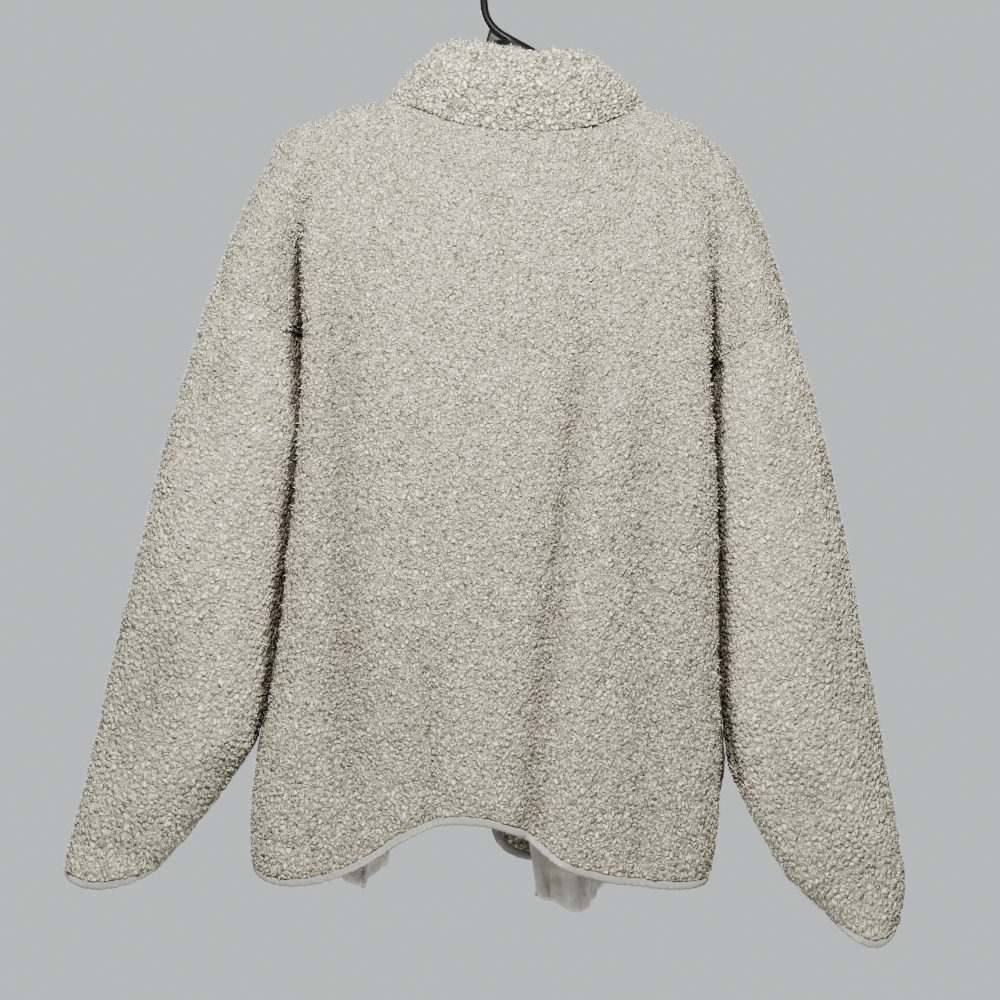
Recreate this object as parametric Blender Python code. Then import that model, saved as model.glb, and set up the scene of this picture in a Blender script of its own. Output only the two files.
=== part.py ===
"""Sherpa jacket hung on a plastic hanger, back toward -Y. Metres, +Z up, origin at the hook's inner top."""
import math

import bmesh
import bpy
import numpy as np
from mathutils import Vector
from mathutils.bvhtree import BVHTree

for old in list(bpy.data.objects):
    bpy.data.objects.remove(old, do_unlink=True)

# ---------------------------------------------------------------- driving dimensions, millimetres
# The garment is laid out in the hanger's own frame: x to the wearer's right, y to the jacket's front,
# "drop" = distance below the point where the hook hangs. The whole is then tipped by HANG_TILT.
HANG_TILT = 3.1          # degrees, the wearer's left end of the hanger is the higher one
WALL = 4.5               # sherpa: knit ground with the dense part of its pile
COLLAR_WALL = 7.5        # the collar is the same cloth doubled and turned over its top edge
BAG_WALL = 2.4           # two layers of pocket cloth lying together
BAG_GAP = 0.7            # between a bag and the inside of its front
SEAM = 0.25              # each piece stops this far short of the seam line
SHOULDER_ROUND = 16.0    # radius of the cloth where it turns over the hanger's arm
GROOVE = 7.0             # half width of the fold under each arm
BINDING_TALL = 8.0       # stretch binding, as seen from outside
BINDING_THICK = 6.6
WELT_WIDE = 14.0
WELT_THICK = 2.4
HOOK_INNER_R = 27.0
HOOK_ROD_R = 3.25
ARM_WIDE = 8.0           # hanger arm, front to back
ARM_TALL = 11.0

SIDES = {"left": -1.0, "right": 1.0}

# The fold under each arm, where body, sleeve and side seam meet.
UNDERARM = {"left": (-186.0, 10.0, 348.0), "right": (205.0, 10.0, 356.0)}
NECK_POINT = {"left": -110.0, "right": 122.0}
CENTRE_X = 7.0

# Body below the arms: silhouettes, the side seam's depth, the two faces and how wide the corners are.
BODY_COLUMNS = ("drop", "left", "right", "side", "back", "front", "corner")
BODY = (
    (340, -176, 194, 10, -42, 51, 14),
    (368, -175, 196, 10, -43, 52, 14),
    (414, -173, 201, 10, -45, 53, 18),
    (461, -176, 208, 10, -46, 54, 26),
    (508, -178, 212, 9, -47, 54, 36),
    (555, -181, 215, 8, -47, 54, 44),
    (601, -183, 218, 8, -48, 54, 50),
    (648, -186, 221, 8, -48, 55, 52),
    (695, -190, 225, 8, -48, 56, 54),
    (734, -197, 227, 8, -49, 57, 54),
    (775, -200, 226, 8, -49, 58, 52),
    (810, -201, 224, 8, -48, 58, 48),
    (838, -198, 219, 8, -46, 57, 44),
    (862, -190, 211, 8, -43, 56, 40),
)

# Sleeves: outer and inner silhouettes seen from behind, then the section's middle and half depth.
SLEEVE_COLUMNS = ("drop", "outer", "inner", "middle", "half")
SLEEVE = {
    "left": (
        (300, -257, -195, 10, 58),
        (326, -265, -196, 10, 58),
        (373, -277, -195, 10, 60),
        (420, -289, -190, 10, 62),
        (468, -300, -188, 10, 62),
        (515, -309, -188, 9, 60),
        (562, -318, -191, 8, 57),
        (609, -326, -194, 7, 54),
        (656, -335, -198, 6, 51),
        (703, -343, -202, 5, 48),
        (742, -349, -212, 4, 46),
        (773, -354, -230, 3, 43),
        (811, -362, -257, 2, 39),
        (839, -368, -279, 1, 35),
        (866, -370, -298, 0, 31),
    ),
    "right": (
        (300, 262, 214, 10, 58),
        (343, 276, 215, 10, 58),
        (388, 293, 217, 10, 60),
        (434, 308, 218, 10, 62),
        (480, 320, 220, 10, 62),
        (526, 332, 223, 9, 60),
        (572, 343, 226, 8, 57),
        (618, 354, 229, 7, 54),
        (664, 366, 233, 6, 51),
        (719, 378, 244, 5, 48),
        (765, 388, 259, 4, 45),
        (802, 397, 280, 3, 41),
        (834, 402, 303, 2, 37),
        (860, 398, 334, 1, 33),
        (884, 392, 352, 0, 30),
    ),
}
# Where the sleeve cloth stops above its cuff binding: outer side, middle of the back, inner side.
CUFF_DROP = {"left": (855.0, 861.0, 849.0), "right": (864.0, 876.0, 862.0)}

# Top edge of the body, seen from behind: shoulder, neck seam, shoulder.
TOP_COLUMNS = ("x", "drop", "depth")
TOP = (
    (-203, 168.5, 0), (-190, 161.5, 0), (-151, 146, 0), (-126, 137.5, 0), (-110, 134, 3),
    (-92, 138, -10), (-50, 153, -25), (11, 161, -33), (76, 150, -26), (106, 134, -10),
    (122, 128, 3), (138, 132, 0), (176, 148, 0), (199, 165, 0), (208, 174, 0),
)
# The front half of the neck seam, from the neck point down to the front edge.
FRONT_NECK_COLUMNS = ("along", "x", "drop", "depth")
FRONT_NECK = {
    "left": ((0.0, -110, 134, 3), (0.35, -96, 148, 22), (0.7, -66, 176, 40), (1.0, -34, 196, 49)),
    "right": ((0.0, 122, 128, 3), (0.35, 110, 143, 22), (0.7, 80, 172, 40), (1.0, 46, 193, 49)),
}
# The fold line that starts near the hanger's end and runs down to the underarm.
FOLD_COLUMNS = ("drop", "x", "back", "front")
FOLD = {
    "left": (
        (156, -176, 0, 0), (176, -179, -17, 17), (200, -182, -24, 25), (235, -187, -25, 31),
        (280, -190, -13, 27), (320, -188, 2, 18), (348, -186, 10, 10),
    ),
    "right": (
        (158, 190, 0, 0), (178, 192, -17, 17), (203, 194, -24, 25), (240, 197, -25, 31),
        (285, 200, -13, 27), (328, 203, 2, 18), (356, 205, 10, 10),
    ),
}
# The outermost line of the dropped shoulder, from the hanger's end to the sleeve seam.
CAP_COLUMNS = ("drop", "x", "depth")
CAP = {
    "left": ((168.5, -203, 0), (176, -210, 1), (193, -217, 3), (231, -234, 6), (279, -250, 9), (311, -260, 10)),
    "right": ((174, 208, 0), (181, 213, 1), (198, 222, 3), (240, 242, 6), (290, 259, 9), (313, 266, 10)),
}
# Lower edge of the cloth, above the binding.
HEM_COLUMNS = ("x", "drop")
HEM_BACK = (
    (-200, 843), (-183, 845), (-150, 844), (-123, 837), (-92, 821), (-62, 798), (-28, 783),
    (0, 780), (27, 783), (55, 795), (82, 812), (119, 824), (165, 829), (222, 830),
)
HEM_FRONT = {"left": 838.0, "right": 838.0}
FRONT_CORNER = 26.0      # how far the rounded corner of each front rises
# Free front edges, hanging open.
EDGE_COLUMNS = ("drop", "left", "right")
FRONT_EDGE = (
    (190, -34, 46), (260, -40, 44), (400, -50, 39), (600, -64, 33), (760, -76, 29), (850, -80, 27),
)
# Collar: the seam row is shared with the body; these give the top edge, by share of the way round.
COLLAR_COLUMNS = ("round", "x", "drop", "depth")
COLLAR_TOP = (
    (0.00, -22, 117, 62), (0.10, -49, 101, 44), (0.20, -60, 87, 18), (0.26, -61, 81, -2),
    (0.36, -44, 83, -26), (0.50, 9, 89, -34), (0.64, 59, 88, -29), (0.74, 78, 91, -6),
    (0.80, 82, 96, 16), (0.90, 64, 106, 44), (1.00, 35, 118, 62),
)
# Soft folds: (name, face, top drop, bottom drop, x at top, x at bottom, half width, depth inward).
FOLDS = (
    ("back left trough", "back", 250, 760, -142, -124, 26, 9),
    ("back left ridge", "back", 380, 850, -75, -52, 24, -6),
    ("hem crease", "back", 600, 850, -45, -31, 13, 5),
    ("back centre trough", "back", 280, 850, 84, 48, 25, 11),
    ("back centre ridge", "back", 330, 860, 112, 98, 22, -7),
    ("back right trough", "back", 330, 840, 138, 158, 22, 7),
    ("front left trough", "front", 260, 850, -120, -126, 22, 9),
    ("front left ridge", "front", 300, 850, -84, -98, 18, -6),
    ("front right trough", "front", 260, 850, 118, 104, 24, 10),
    ("front right ridge", "front", 300, 850, 154, 150, 22, -7),
    ("front right edge roll", "front", 320, 850, 72, 60, 16, -5),
)
# Sleeve dents: (side, drop, angle round the tube from the outer side over the back, half drop, half angle, depth).
DENTS = (
    ("left", 405, 75, 60, 28, 7), ("left", 680, 70, 75, 26, 8), ("left", 822, 95, 24, 30, 6),
    ("left", 760, 150, 34, 26, 7), ("left", 560, 265, 90, 32, 8), ("left", 770, 250, 50, 34, 7),
    ("right", 440, 85, 70, 26, 7), ("right", 640, 60, 80, 24, 5), ("right", 750, 110, 40, 26, 6),
    ("right", 815, 80, 26, 34, 6), ("right", 560, 270, 90, 32, 8), ("right", 790, 250, 50, 34, 7),
)
POCKET = {"left": (-128.0, -150.0, 600.0, 735.0), "right": (126.0, 152.0, 600.0, 735.0)}
# Pocket bags inside the fronts: (x of one edge, x of the other, top drop, lowest drop).
BAG = {"left": (-82.0, -136.0, 640.0, 886.0), "right": (50.0, 146.0, 640.0, 890.0)}


# ---------------------------------------------------------------- small maths
def smooth(keys, values, at):
    """Cubic through a short table; flat outside it."""
    k = np.asarray(keys, float)
    v = np.asarray(values, float)
    x = np.clip(np.asarray(at, float), k[0], k[-1])
    step = np.diff(k)
    rise = np.diff(v) / step
    slope = np.empty_like(v)
    slope[0] = rise[0]
    slope[-1] = rise[-1]
    slope[1:-1] = (rise[:-1] * step[1:] + rise[1:] * step[:-1]) / (step[:-1] + step[1:])
    i = np.clip(np.searchsorted(k, x, side="right") - 1, 0, len(step) - 1)
    t = (x - k[i]) / step[i]
    a = v[i] * (1 + 2 * t) * (1 - t) ** 2 + v[i + 1] * t * t * (3 - 2 * t)
    b = slope[i] * t * (1 - t) ** 2 - slope[i + 1] * t * t * (1 - t)
    return a + b * step[i]


def column(table, names, wanted, at):
    rows = np.asarray(table, float)
    return smooth(rows[:, 0], rows[:, names.index(wanted)], at)


def lerp(a, b, t):
    return a + (b - a) * t


def ease(t):
    t = np.clip(t, 0, 1)
    return t * t * (3 - 2 * t)


def quarter(t):
    """Quarter circle: steep at 0, flat at 1."""
    t = np.clip(t, 0, 1)
    return np.sqrt(np.maximum(0, 1 - (1 - t) ** 2))


def fold_depth(face, x, drop):
    total = np.zeros(np.broadcast(x, drop).shape)
    for _, on, top, bottom, x0, x1, wide, deep in FOLDS:
        if on != face:
            continue
        t = (drop - top) / (bottom - top)
        line = lerp(x0, x1, ease(t))
        fade = ease(t * 3.5) * ease((1.12 - t) * 4.0)
        total = total + deep * fade * np.exp(-((x - line) / wide) ** 2)
    return total


# ---------------------------------------------------------------- the body below the arms
ARC_SHARE = 0.035        # share of a half row in the underarm fold
CORNER_SHARE = 0.16      # share of a half row up to the end of the corner


def half_row(q, opened, corner, depth, reach):
    """Offsets from the fold or side seam: q = 0 there, q = 1 at the middle or the front edge."""
    a = np.clip(q / ARC_SHARE, 0, 1)
    c = np.clip((q - ARC_SHARE) / (CORNER_SHARE - ARC_SHARE), 0, 1) * math.pi / 2
    f = np.clip((q - CORNER_SHARE) / (1 - CORNER_SHARE), 0, 1)
    turn = a * math.pi / 2
    dx = lerp(GROOVE * np.sin(turn), GROOVE, opened)
    dy = lerp(GROOVE * (1 - np.cos(turn)), GROOVE * a, opened)
    dx = dx + corner * (1 - np.cos(c)) + f * (reach - GROOVE - corner)
    dy = dy + (depth - GROOVE) * np.sin(c)
    return dx, dy


def body_low(side, face, q, drop):
    """A point of the tube below the arm."""
    sign = SIDES[side]
    ux, uy, ud = UNDERARM[side]
    opened = quarter((drop - ud) / 10.0)
    edge = column(BODY, BODY_COLUMNS, side, drop)
    start = lerp(ux, edge + sign * GROOVE, opened)
    seam_y = lerp(uy, column(BODY, BODY_COLUMNS, "side", drop), ease((drop - ud) / 60.0))
    plane = column(BODY, BODY_COLUMNS, face, drop)
    end = CENTRE_X if face == "back" else column(FRONT_EDGE, EDGE_COLUMNS, side, drop)
    corner = column(BODY, BODY_COLUMNS, "corner", drop)
    dx, dy = half_row(q, opened, corner, np.abs(plane - seam_y), np.abs(end - start))
    x = start - sign * dx
    way = -1.0 if face == "back" else 1.0
    y = seam_y + way * dy
    body = np.sin(np.clip((q - ARC_SHARE) / (CORNER_SHARE - ARC_SHARE), 0, 1) * math.pi / 2)
    y = y + way * 3.0 * body * np.clip((q - CORNER_SHARE) / (1 - CORNER_SHARE), 0, 1) ** 0.8
    y = y - way * body * fold_depth(face, x, drop)
    return np.stack([x, y, -drop + 0 * x], axis=-1)


def hem_drop(side, face, q):
    if face == "back":
        x = body_low(side, "back", q, np.full(np.shape(q), 835.0))[..., 0]
        return column(HEM_BACK, HEM_COLUMNS, "drop", x)
    seam = column(HEM_BACK, HEM_COLUMNS, "drop", body_low(side, "back", 0 * q, 835.0 + 0 * q)[..., 0])
    level = lerp(seam, HEM_FRONT[side], ease(q / 0.4))
    t = np.clip((q - 0.80) / 0.20, 0, 1)
    return level - FRONT_CORNER * (1 - np.sqrt(np.maximum(0, 1 - t ** 2)))


def low_point(side, face, q, v):
    ud = UNDERARM[side][2]
    middle = 0.5 * (UNDERARM["left"][2] + UNDERARM["right"][2])
    start = lerp(ud, middle, ease(q)) if face == "back" else ud + 0 * q
    return body_low(side, face, q, lerp(start, hem_drop(side, face, q), v))


# ---------------------------------------------------------------- the body above the arms
NECK_SHARE = 0.42        # share of a half row that lies under the shoulder line


def top_point(side, face, q):
    """Shoulder line, then the neck seam: the row that back, front and collar share."""
    fold_x = FOLD[side][0][1]
    neck_x = NECK_POINT[side]
    along = np.clip(q / NECK_SHARE, 0, 1)
    round_neck = np.clip((q - NECK_SHARE) / (1 - NECK_SHARE), 0, 1)
    x = lerp(fold_x, neck_x, along)
    if face == "back":
        x = np.where(q > NECK_SHARE, lerp(neck_x, CENTRE_X, round_neck), x)
        drop = column(TOP, TOP_COLUMNS, "drop", x)
        y = column(TOP, TOP_COLUMNS, "depth", x)
    else:
        drop = column(TOP, TOP_COLUMNS, "drop", x)
        y = column(TOP, TOP_COLUMNS, "depth", x)
        neck = FRONT_NECK[side]
        on = q > NECK_SHARE
        drop = np.where(on, column(neck, FRONT_NECK_COLUMNS, "drop", round_neck), drop)
        y = np.where(on, column(neck, FRONT_NECK_COLUMNS, "depth", round_neck), y)
        x = np.where(on, column(neck, FRONT_NECK_COLUMNS, "x", round_neck), x)
    return x, y, drop


def up_raw(side, face, q, v):
    sign = SIDES[side]
    way = -1.0 if face == "back" else 1.0
    tx, ty, td = top_point(side, face, q)
    base = low_point(side, face, q, 0 * v)
    drop = lerp(td, -base[..., 2], v)
    fold = FOLD[side]
    fold_drop = lerp(fold[0][0], fold[-1][0], v)
    kx = column(fold, FOLD_COLUMNS, "x", fold_drop)
    ky = column(fold, FOLD_COLUMNS, face, fold_drop)
    end = lerp(CENTRE_X if face == "back" else FRONT_NECK[side][-1][1], base[..., 0] * 0 + (
        CENTRE_X if face == "back" else column(FRONT_EDGE, EDGE_COLUMNS, side, drop)), v)
    corner = lerp(26.0, column(BODY, BODY_COLUMNS, "corner", UNDERARM[side][2]), ease(v * 2))
    dx, _ = half_row(q, 0 * v, corner, 40.0 + 0 * v, np.abs(end - kx))
    x = lerp(tx, kx - sign * dx, ease(v * 1.6) if face == "back" else ease(v * 1.3))
    fall = drop - td
    plane = column(BODY, BODY_COLUMNS, face, UNDERARM[side][2]) + way * 3.0
    over = way * SHOULDER_ROUND * quarter(fall / SHOULDER_ROUND)
    over = over + (plane - way * SHOULDER_ROUND) * np.sin(v * math.pi / 2)
    neck = lerp(ty, plane, np.sin(v * math.pi / 2))
    share = ease((q - NECK_SHARE + 0.05) / 0.14)
    plane_y = lerp(over + ty * (1 - v), neck, share)
    _, deep = half_row(q, 0 * v, corner, 40.0 + 0 * v, 200.0 + 0 * v)
    y = lerp(ky, plane_y, deep / 40.0)
    y = y - way * (deep / 40.0) * fold_depth(face, x, drop)
    return np.stack([x, y, -drop], axis=-1)


def up_point(side, face, q, v):
    """Above the arms, closing exactly onto the tube below at v = 1."""
    ends = low_point(side, face, q, 0 * v) - up_raw(side, face, q, 0 * v + 1)
    return up_raw(side, face, q, v) + ends * (v ** 3)[..., None]


# ---------------------------------------------------------------- sleeves and dropped shoulders
def dent(side, drop, angle):
    total = np.zeros(np.broadcast(drop, angle).shape)
    degrees = np.degrees(angle)
    for on, at, where, tall, wide, deep in DENTS:
        if on == side:
            total = total + deep * np.exp(-((drop - at) / tall) ** 2 - ((degrees - where) / wide) ** 2)
    return total


def sleeve_section(side, angle, drop):
    """Angle 0 at the outer side, 90 degrees at the back, 180 at the inner side, 270 at the front."""
    table = SLEEVE[side]
    ux, uy, ud = UNDERARM[side]
    outer = column(table, SLEEVE_COLUMNS, "outer", drop)
    inner = lerp(ux, column(table, SLEEVE_COLUMNS, "inner", drop), quarter((drop - ud) / 10.0))
    middle = column(table, SLEEVE_COLUMNS, "middle", drop)
    half = column(table, SLEEVE_COLUMNS, "half", drop)
    squeeze = 1 - dent(side, drop, angle) / 60.0
    x = 0.5 * (outer + inner) + 0.5 * (outer - inner) * np.cos(angle) * lerp(1, squeeze, 0.3)
    s = np.sin(angle)
    y = middle - half * np.sign(s) * np.abs(s) ** 0.86 * squeeze
    return np.stack([x, y, -drop + 0 * x], axis=-1)


def seam_drop(side, angle):
    top = CAP[side][-1][0]
    return lerp(top, UNDERARM[side][2], (1 - np.cos(angle)) / 2)


def sleeve_point(side, angle, t):
    outer, back, inner = CUFF_DROP[side]
    c = np.cos(angle)
    end = lerp(inner, outer, (1 + c) / 2) + (back - 0.5 * (outer + inner)) * np.abs(np.sin(angle)) ** 2
    return sleeve_section(side, angle, lerp(seam_drop(side, angle), end, t))


def cap_raw(side, face, c, v):
    sign = SIDES[side]
    way = -1.0 if face == "back" else 1.0
    angle = math.pi * (1 - c)
    fold = FOLD[side]
    cap = CAP[side]
    fold_drop = lerp(fold[0][0], fold[-1][0], v)
    cap_drop = lerp(cap[0][0], cap[-1][0], v)
    kx = column(fold, FOLD_COLUMNS, "x", fold_drop)
    ky = column(fold, FOLD_COLUMNS, face, fold_drop)
    ox = column(cap, CAP_COLUMNS, "x", cap_drop)
    oy = column(cap, CAP_COLUMNS, "depth", cap_drop)
    share = (1 + np.cos(angle)) / 2
    drop = lerp(fold_drop, cap_drop, share)
    fall = v * 150.0
    bulge = SHOULDER_ROUND * quarter(fall / SHOULDER_ROUND)
    bulge = bulge + (SLEEVE[side][0][4] - SHOULDER_ROUND) * np.sin(v * math.pi / 2) ** 1.3
    x = 0.5 * (kx + ox) + 0.5 * (ox - kx) * np.cos(angle)
    bulge = bulge - 0.5 * np.abs(ky - oy)
    y = lerp(ky, oy, share) + way * bulge * np.sin(angle) ** 0.86
    return np.stack([x, y, -drop + 0 * sign * x], axis=-1)


def cap_point(side, face, c, v):
    angle = math.pi * (1 - c)
    if face == "front":
        angle = 2 * math.pi - angle
    ends = sleeve_point(side, angle, 0 * v) - cap_raw(side, face, c, 0 * v + 1)
    return cap_raw(side, face, c, v) + ends * (v ** 3)[..., None]


# ---------------------------------------------------------------- grids of each cut piece
HALF = np.array([0, 0.035, 0.085, 0.16, 0.29, 0.42, 0.56, 0.70, 0.85, 1.0])
HALF_FRONT = np.array([0, 0.035, 0.085, 0.16, 0.29, 0.42, 0.56, 0.70, 0.84, 0.94, 1.0])
UPPER = np.array([0, 0.035, 0.085, 0.18, 0.31, 0.46, 0.62, 0.77, 0.90, 1.0])
LOWER = np.array([0.016, 0.045, 0.10, 0.18, 0.27, 0.36, 0.45, 0.54, 0.63, 0.72, 0.80, 0.87, 0.94, 1.0])
CAP_STEPS = np.linspace(0, 1, 9)
SLEEVE_STEPS = np.array([0, 0.02, 0.055, 0.12, 0.20, 0.28, 0.36, 0.44, 0.52, 0.60, 0.68, 0.75, 0.82, 0.88,
                         0.94, 1.0])


def mesh_of(fn, across, down):
    """Sample fn over a grid: rows run down."""
    u, v = np.meshgrid(across, down)
    return fn(u, v)


def half_panel(side, face, half):
    """One side of a panel, from the cap's outer line to the middle: upper rows, then lower rows."""
    cap = mesh_of(lambda c, v: cap_point(side, face, c, v), CAP_STEPS[::-1], UPPER)
    up = mesh_of(lambda q, v: up_point(side, face, q, v), half, UPPER)
    low = mesh_of(lambda q, v: low_point(side, face, q, v), half, LOWER)
    upper = np.concatenate([cap[:, :-1], up], axis=1)
    blank = np.full((len(LOWER), len(CAP_STEPS) - 1, 3), np.nan)
    lower = np.concatenate([blank, low], axis=1)
    return np.concatenate([upper, lower], axis=0)


def collar_rows():
    """Seam points come from the panels; the top edge from its own table."""
    neck = HALF[HALF >= NECK_SHARE]
    neck_front = HALF_FRONT[HALF_FRONT >= NECK_SHARE]
    ring = []
    for q in neck_front[::-1]:
        ring.append(top_point("left", "front", np.array(q)))
    for q in neck[1:]:
        ring.append(top_point("left", "back", np.array(q)))
    for q in neck[:-1][::-1]:
        ring.append(top_point("right", "back", np.array(q)))
    for q in neck_front[1:]:
        ring.append(top_point("right", "front", np.array(q)))
    base = np.array([[x, y, -d] for x, y, d in ring], float)
    length = np.r_[0, np.cumsum(np.linalg.norm(np.diff(base, axis=0), axis=1))]
    share = length / length[-1]
    top = np.stack([column(COLLAR_TOP, COLLAR_COLUMNS, "x", share),
                    column(COLLAR_TOP, COLLAR_COLUMNS, "depth", share),
                    -column(COLLAR_TOP, COLLAR_COLUMNS, "drop", share)], axis=-1)
    out_way = base - np.array([CENTRE_X, 8.0, 0.0])
    out_way[:, 2] = 0
    out_way /= np.linalg.norm(out_way, axis=1)[:, None]
    rows = []
    for h in (0.0, 0.12, 0.34, 0.58, 0.80, 1.0):
        bow = 9.0 * np.sin(h * math.pi) * (0.6 + 0.4 * np.abs(out_way[:, :1]))
        rows.append(lerp(base, top, h) + out_way * bow * (1 if h < 1 else 0))
    return np.array(rows)


GRIDS = {}
back_left = half_panel("left", "back", HALF)
back_right = half_panel("right", "back", HALF)
GRIDS["back"] = np.concatenate([back_left, back_right[:, ::-1][:, 1:]], axis=1)
GRIDS["front_left"] = half_panel("left", "front", HALF_FRONT)[:, ::-1]
GRIDS["front_right"] = half_panel("right", "front", HALF_FRONT)
for side in SIDES:
    turn = np.concatenate([math.pi * (1 - CAP_STEPS[::-1]), (2 * math.pi - math.pi * (1 - CAP_STEPS))[1:]])
    ring = mesh_of(lambda a, t: sleeve_point(side, a, t), turn, SLEEVE_STEPS)
    GRIDS["sleeve_" + side] = ring if side == "left" else ring[:, ::-1]
GRIDS["collar"] = collar_rows()[::-1]


# ---------------------------------------------------------------- shared normals, then walls
def quads_of(grid):
    rows, cols = grid.shape[:2]
    alive = ~np.isnan(grid[..., 0])
    quads = []
    for r in range(rows - 1):
        for c in range(cols - 1):
            ids = [(r, c), (r + 1, c), (r + 1, c + 1), (r, c + 1)]
            if all(alive[i] for i in ids):
                quads.append(ids)
    return quads


def key_of(p):
    return tuple(int(round(v * 50 + 0.137)) for v in p)


NORMAL_SUM = {}
for name, grid in GRIDS.items():
    for quad in quads_of(grid):
        a, b, c, d = (grid[i] for i in quad)
        n = np.cross(c - a, d - b)
        for p in (a, b, c, d):
            NORMAL_SUM[key_of(p)] = NORMAL_SUM.get(key_of(p), np.zeros(3)) + n


for side in SIDES:
    ux, uy, ud = UNDERARM[side]
    NORMAL_SUM[key_of((ux, uy, -ud))] = np.array([0.0, 0.0, -1.0])


def normal_at(p):
    n = NORMAL_SUM[key_of(p)]
    return n / max(np.linalg.norm(n), 1e-9)


def welded(name, grid, closed_ring):
    """Vertex list, faces by vertex number and normals for one piece."""
    index, points, faces = {}, [], []

    def number(cell):
        r, c = cell
        if closed_ring and c == grid.shape[1] - 1:
            c = 0
        if (r, c) not in index:
            index[(r, c)] = len(points)
            points.append(grid[r, c])
        return index[(r, c)]

    for quad in quads_of(grid):
        faces.append([number(i) for i in quad])
    return index, np.array(points), faces, np.array([normal_at(p) for p in points])


def rim_of(faces):
    edges = {}
    for f in faces:
        for i in range(len(f)):
            edges[(f[i], f[(i + 1) % len(f)])] = f
    return [(a, b, f) for (a, b), f in edges.items() if (b, a) not in edges]


def pulled_in(points, faces, normals, by):
    """The edges of a piece stop short of the seam line, by an amount given for each point."""
    moved = points.copy()
    sums = {}
    for a, b, f in rim_of(faces):
        for p in (a, b):
            inward = np.cross(normals[p], points[b] - points[a])
            middle = np.mean([points[i] for i in f], axis=0)
            if np.dot(inward, middle - points[a]) < 0:
                inward = -inward
            sums.setdefault(p, []).append(inward / max(np.linalg.norm(inward), 1e-9))
    for p, ways in sums.items():
        total = np.sum(ways, axis=0)
        size = max(np.dot(total, total), 0.5)
        moved[p] = points[p] + total * (by[p] * len(ways) / size)
    return moved


def tilted(points):
    """Millimetres in the hanger's frame to metres in the object's frame."""
    t = math.radians(HANG_TILT)
    p = np.asarray(points, float)
    x = p[..., 0] * math.cos(t) + p[..., 2] * math.sin(t)
    z = -p[..., 0] * math.sin(t) + p[..., 2] * math.cos(t)
    return np.stack([x, p[..., 1], z], axis=-1) * 0.001


COLLECTION = bpy.data.collections.new("sherpa_jacket")
bpy.context.scene.collection.children.link(COLLECTION)
MATERIALS = {}
for label, colour, rough in (("sherpa", (0.77, 0.73, 0.66), 0.95), ("binding_cloth", (0.86, 0.85, 0.82), 0.75),
                             ("pocket_cloth", (0.84, 0.82, 0.77), 0.85), ("black_plastic", (0.012, 0.012, 0.013), 0.25)):
    mat = bpy.data.materials.new(label)
    mat.use_nodes = True
    shader = mat.node_tree.nodes["Principled BSDF"]
    shader.inputs["Base Color"].default_value = (*colour, 1)
    shader.inputs["Roughness"].default_value = rough
    MATERIALS[label] = mat


def make_object(name, verts, faces, material):
    mesh = bpy.data.meshes.new(name)
    mesh.from_pydata([tuple(v) for v in tilted(verts)], [], [tuple(f) for f in faces])
    bm = bmesh.new()
    bm.from_mesh(mesh)
    bmesh.ops.recalc_face_normals(bm, faces=bm.faces[:])
    bm.to_mesh(mesh)
    bm.free()
    mesh.materials.append(MATERIALS[material])
    obj = bpy.data.objects.new(name, mesh)
    COLLECTION.objects.link(obj)
    return obj


def wall_object(name, points, seam, faces, normals, thick, material):
    """Both skins of a cloth wall and the rim that joins them."""
    n = len(points)
    seam = np.round(seam, 1)
    verts = np.concatenate([points + normals * thick / 2, points - normals * thick / 2])
    solid = [list(f) for f in faces] + [[i + n for i in reversed(f)] for f in faces]
    for a, b, _ in rim_of(faces):
        # The diagonal depends on the seam points only, so the two rims of a seam stay parallel.
        if tuple(seam[a]) < tuple(seam[b]):
            solid += [[b, a, a + n], [b, a + n, b + n]]
        else:
            solid += [[b, a, b + n], [a, a + n, b + n]]
    return make_object(name, verts, solid, material)


PIECES = {}
for name, grid in GRIDS.items():
    index, points, faces, normals = welded(name, grid, name.startswith("sleeve"))
    short = np.full(len(points), SEAM)
    for (r, _), number in index.items():
        if name == "collar":
            short[number] = 5 * SEAM
        elif name.startswith("sleeve") and r == 0:
            short[number] = 3 * SEAM
    moved = pulled_in(points, faces, normals, short)
    wall_object(name, moved, points, faces, normals, COLLAR_WALL if name == "collar" else WALL, "sherpa")
    PIECES[name] = (index, points, faces, normals)


# ---------------------------------------------------------------- bindings along the free edges
def edge_band(name, path, normals, outward, closed):
    """A rounded band that sits on the cloth's cut edge, same line, moved out."""
    half = BINDING_THICK / 2
    ring = ((half, 0.8), (half, 0.66 * BINDING_TALL), (0.55 * half, BINDING_TALL),
            (-0.55 * half, BINDING_TALL), (-half, 0.66 * BINDING_TALL), (-half, 0.8))
    verts, faces = [], []
    count = len(path)
    for p, n, o in zip(path, normals, outward):
        verts.extend(p + n * a + o * b for a, b in ring)
    k = len(ring)
    for i in range(count if closed else count - 1):
        j = (i + 1) % count
        for e in range(k):
            f = (e + 1) % k
            faces.append([i * k + e, i * k + f, j * k + f, j * k + e])
    if not closed:
        faces.append(list(range(k))[::-1])
        faces.append([(count - 1) * k + e for e in range(k)])
    return make_object(name, verts, faces, "binding_cloth")


def free_edge(name, cells, closed=False):
    """Points, normals and the way out of the cloth along a row of grid cells."""
    index, points, faces, normals = PIECES[name]
    ids = [index[c] for c in cells]
    path = points[ids]
    norm = normals[ids]
    size = len(ids)
    along = np.zeros_like(path)
    for i in range(size):
        before = path[(i - 1) % size] if closed or i > 0 else path[i]
        after = path[(i + 1) % size] if closed or i < size - 1 else path[i]
        along[i] = (after - before) / np.linalg.norm(after - before)
    out = np.cross(along, norm)
    out /= np.linalg.norm(out, axis=1)[:, None]
    return path, norm, out


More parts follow.
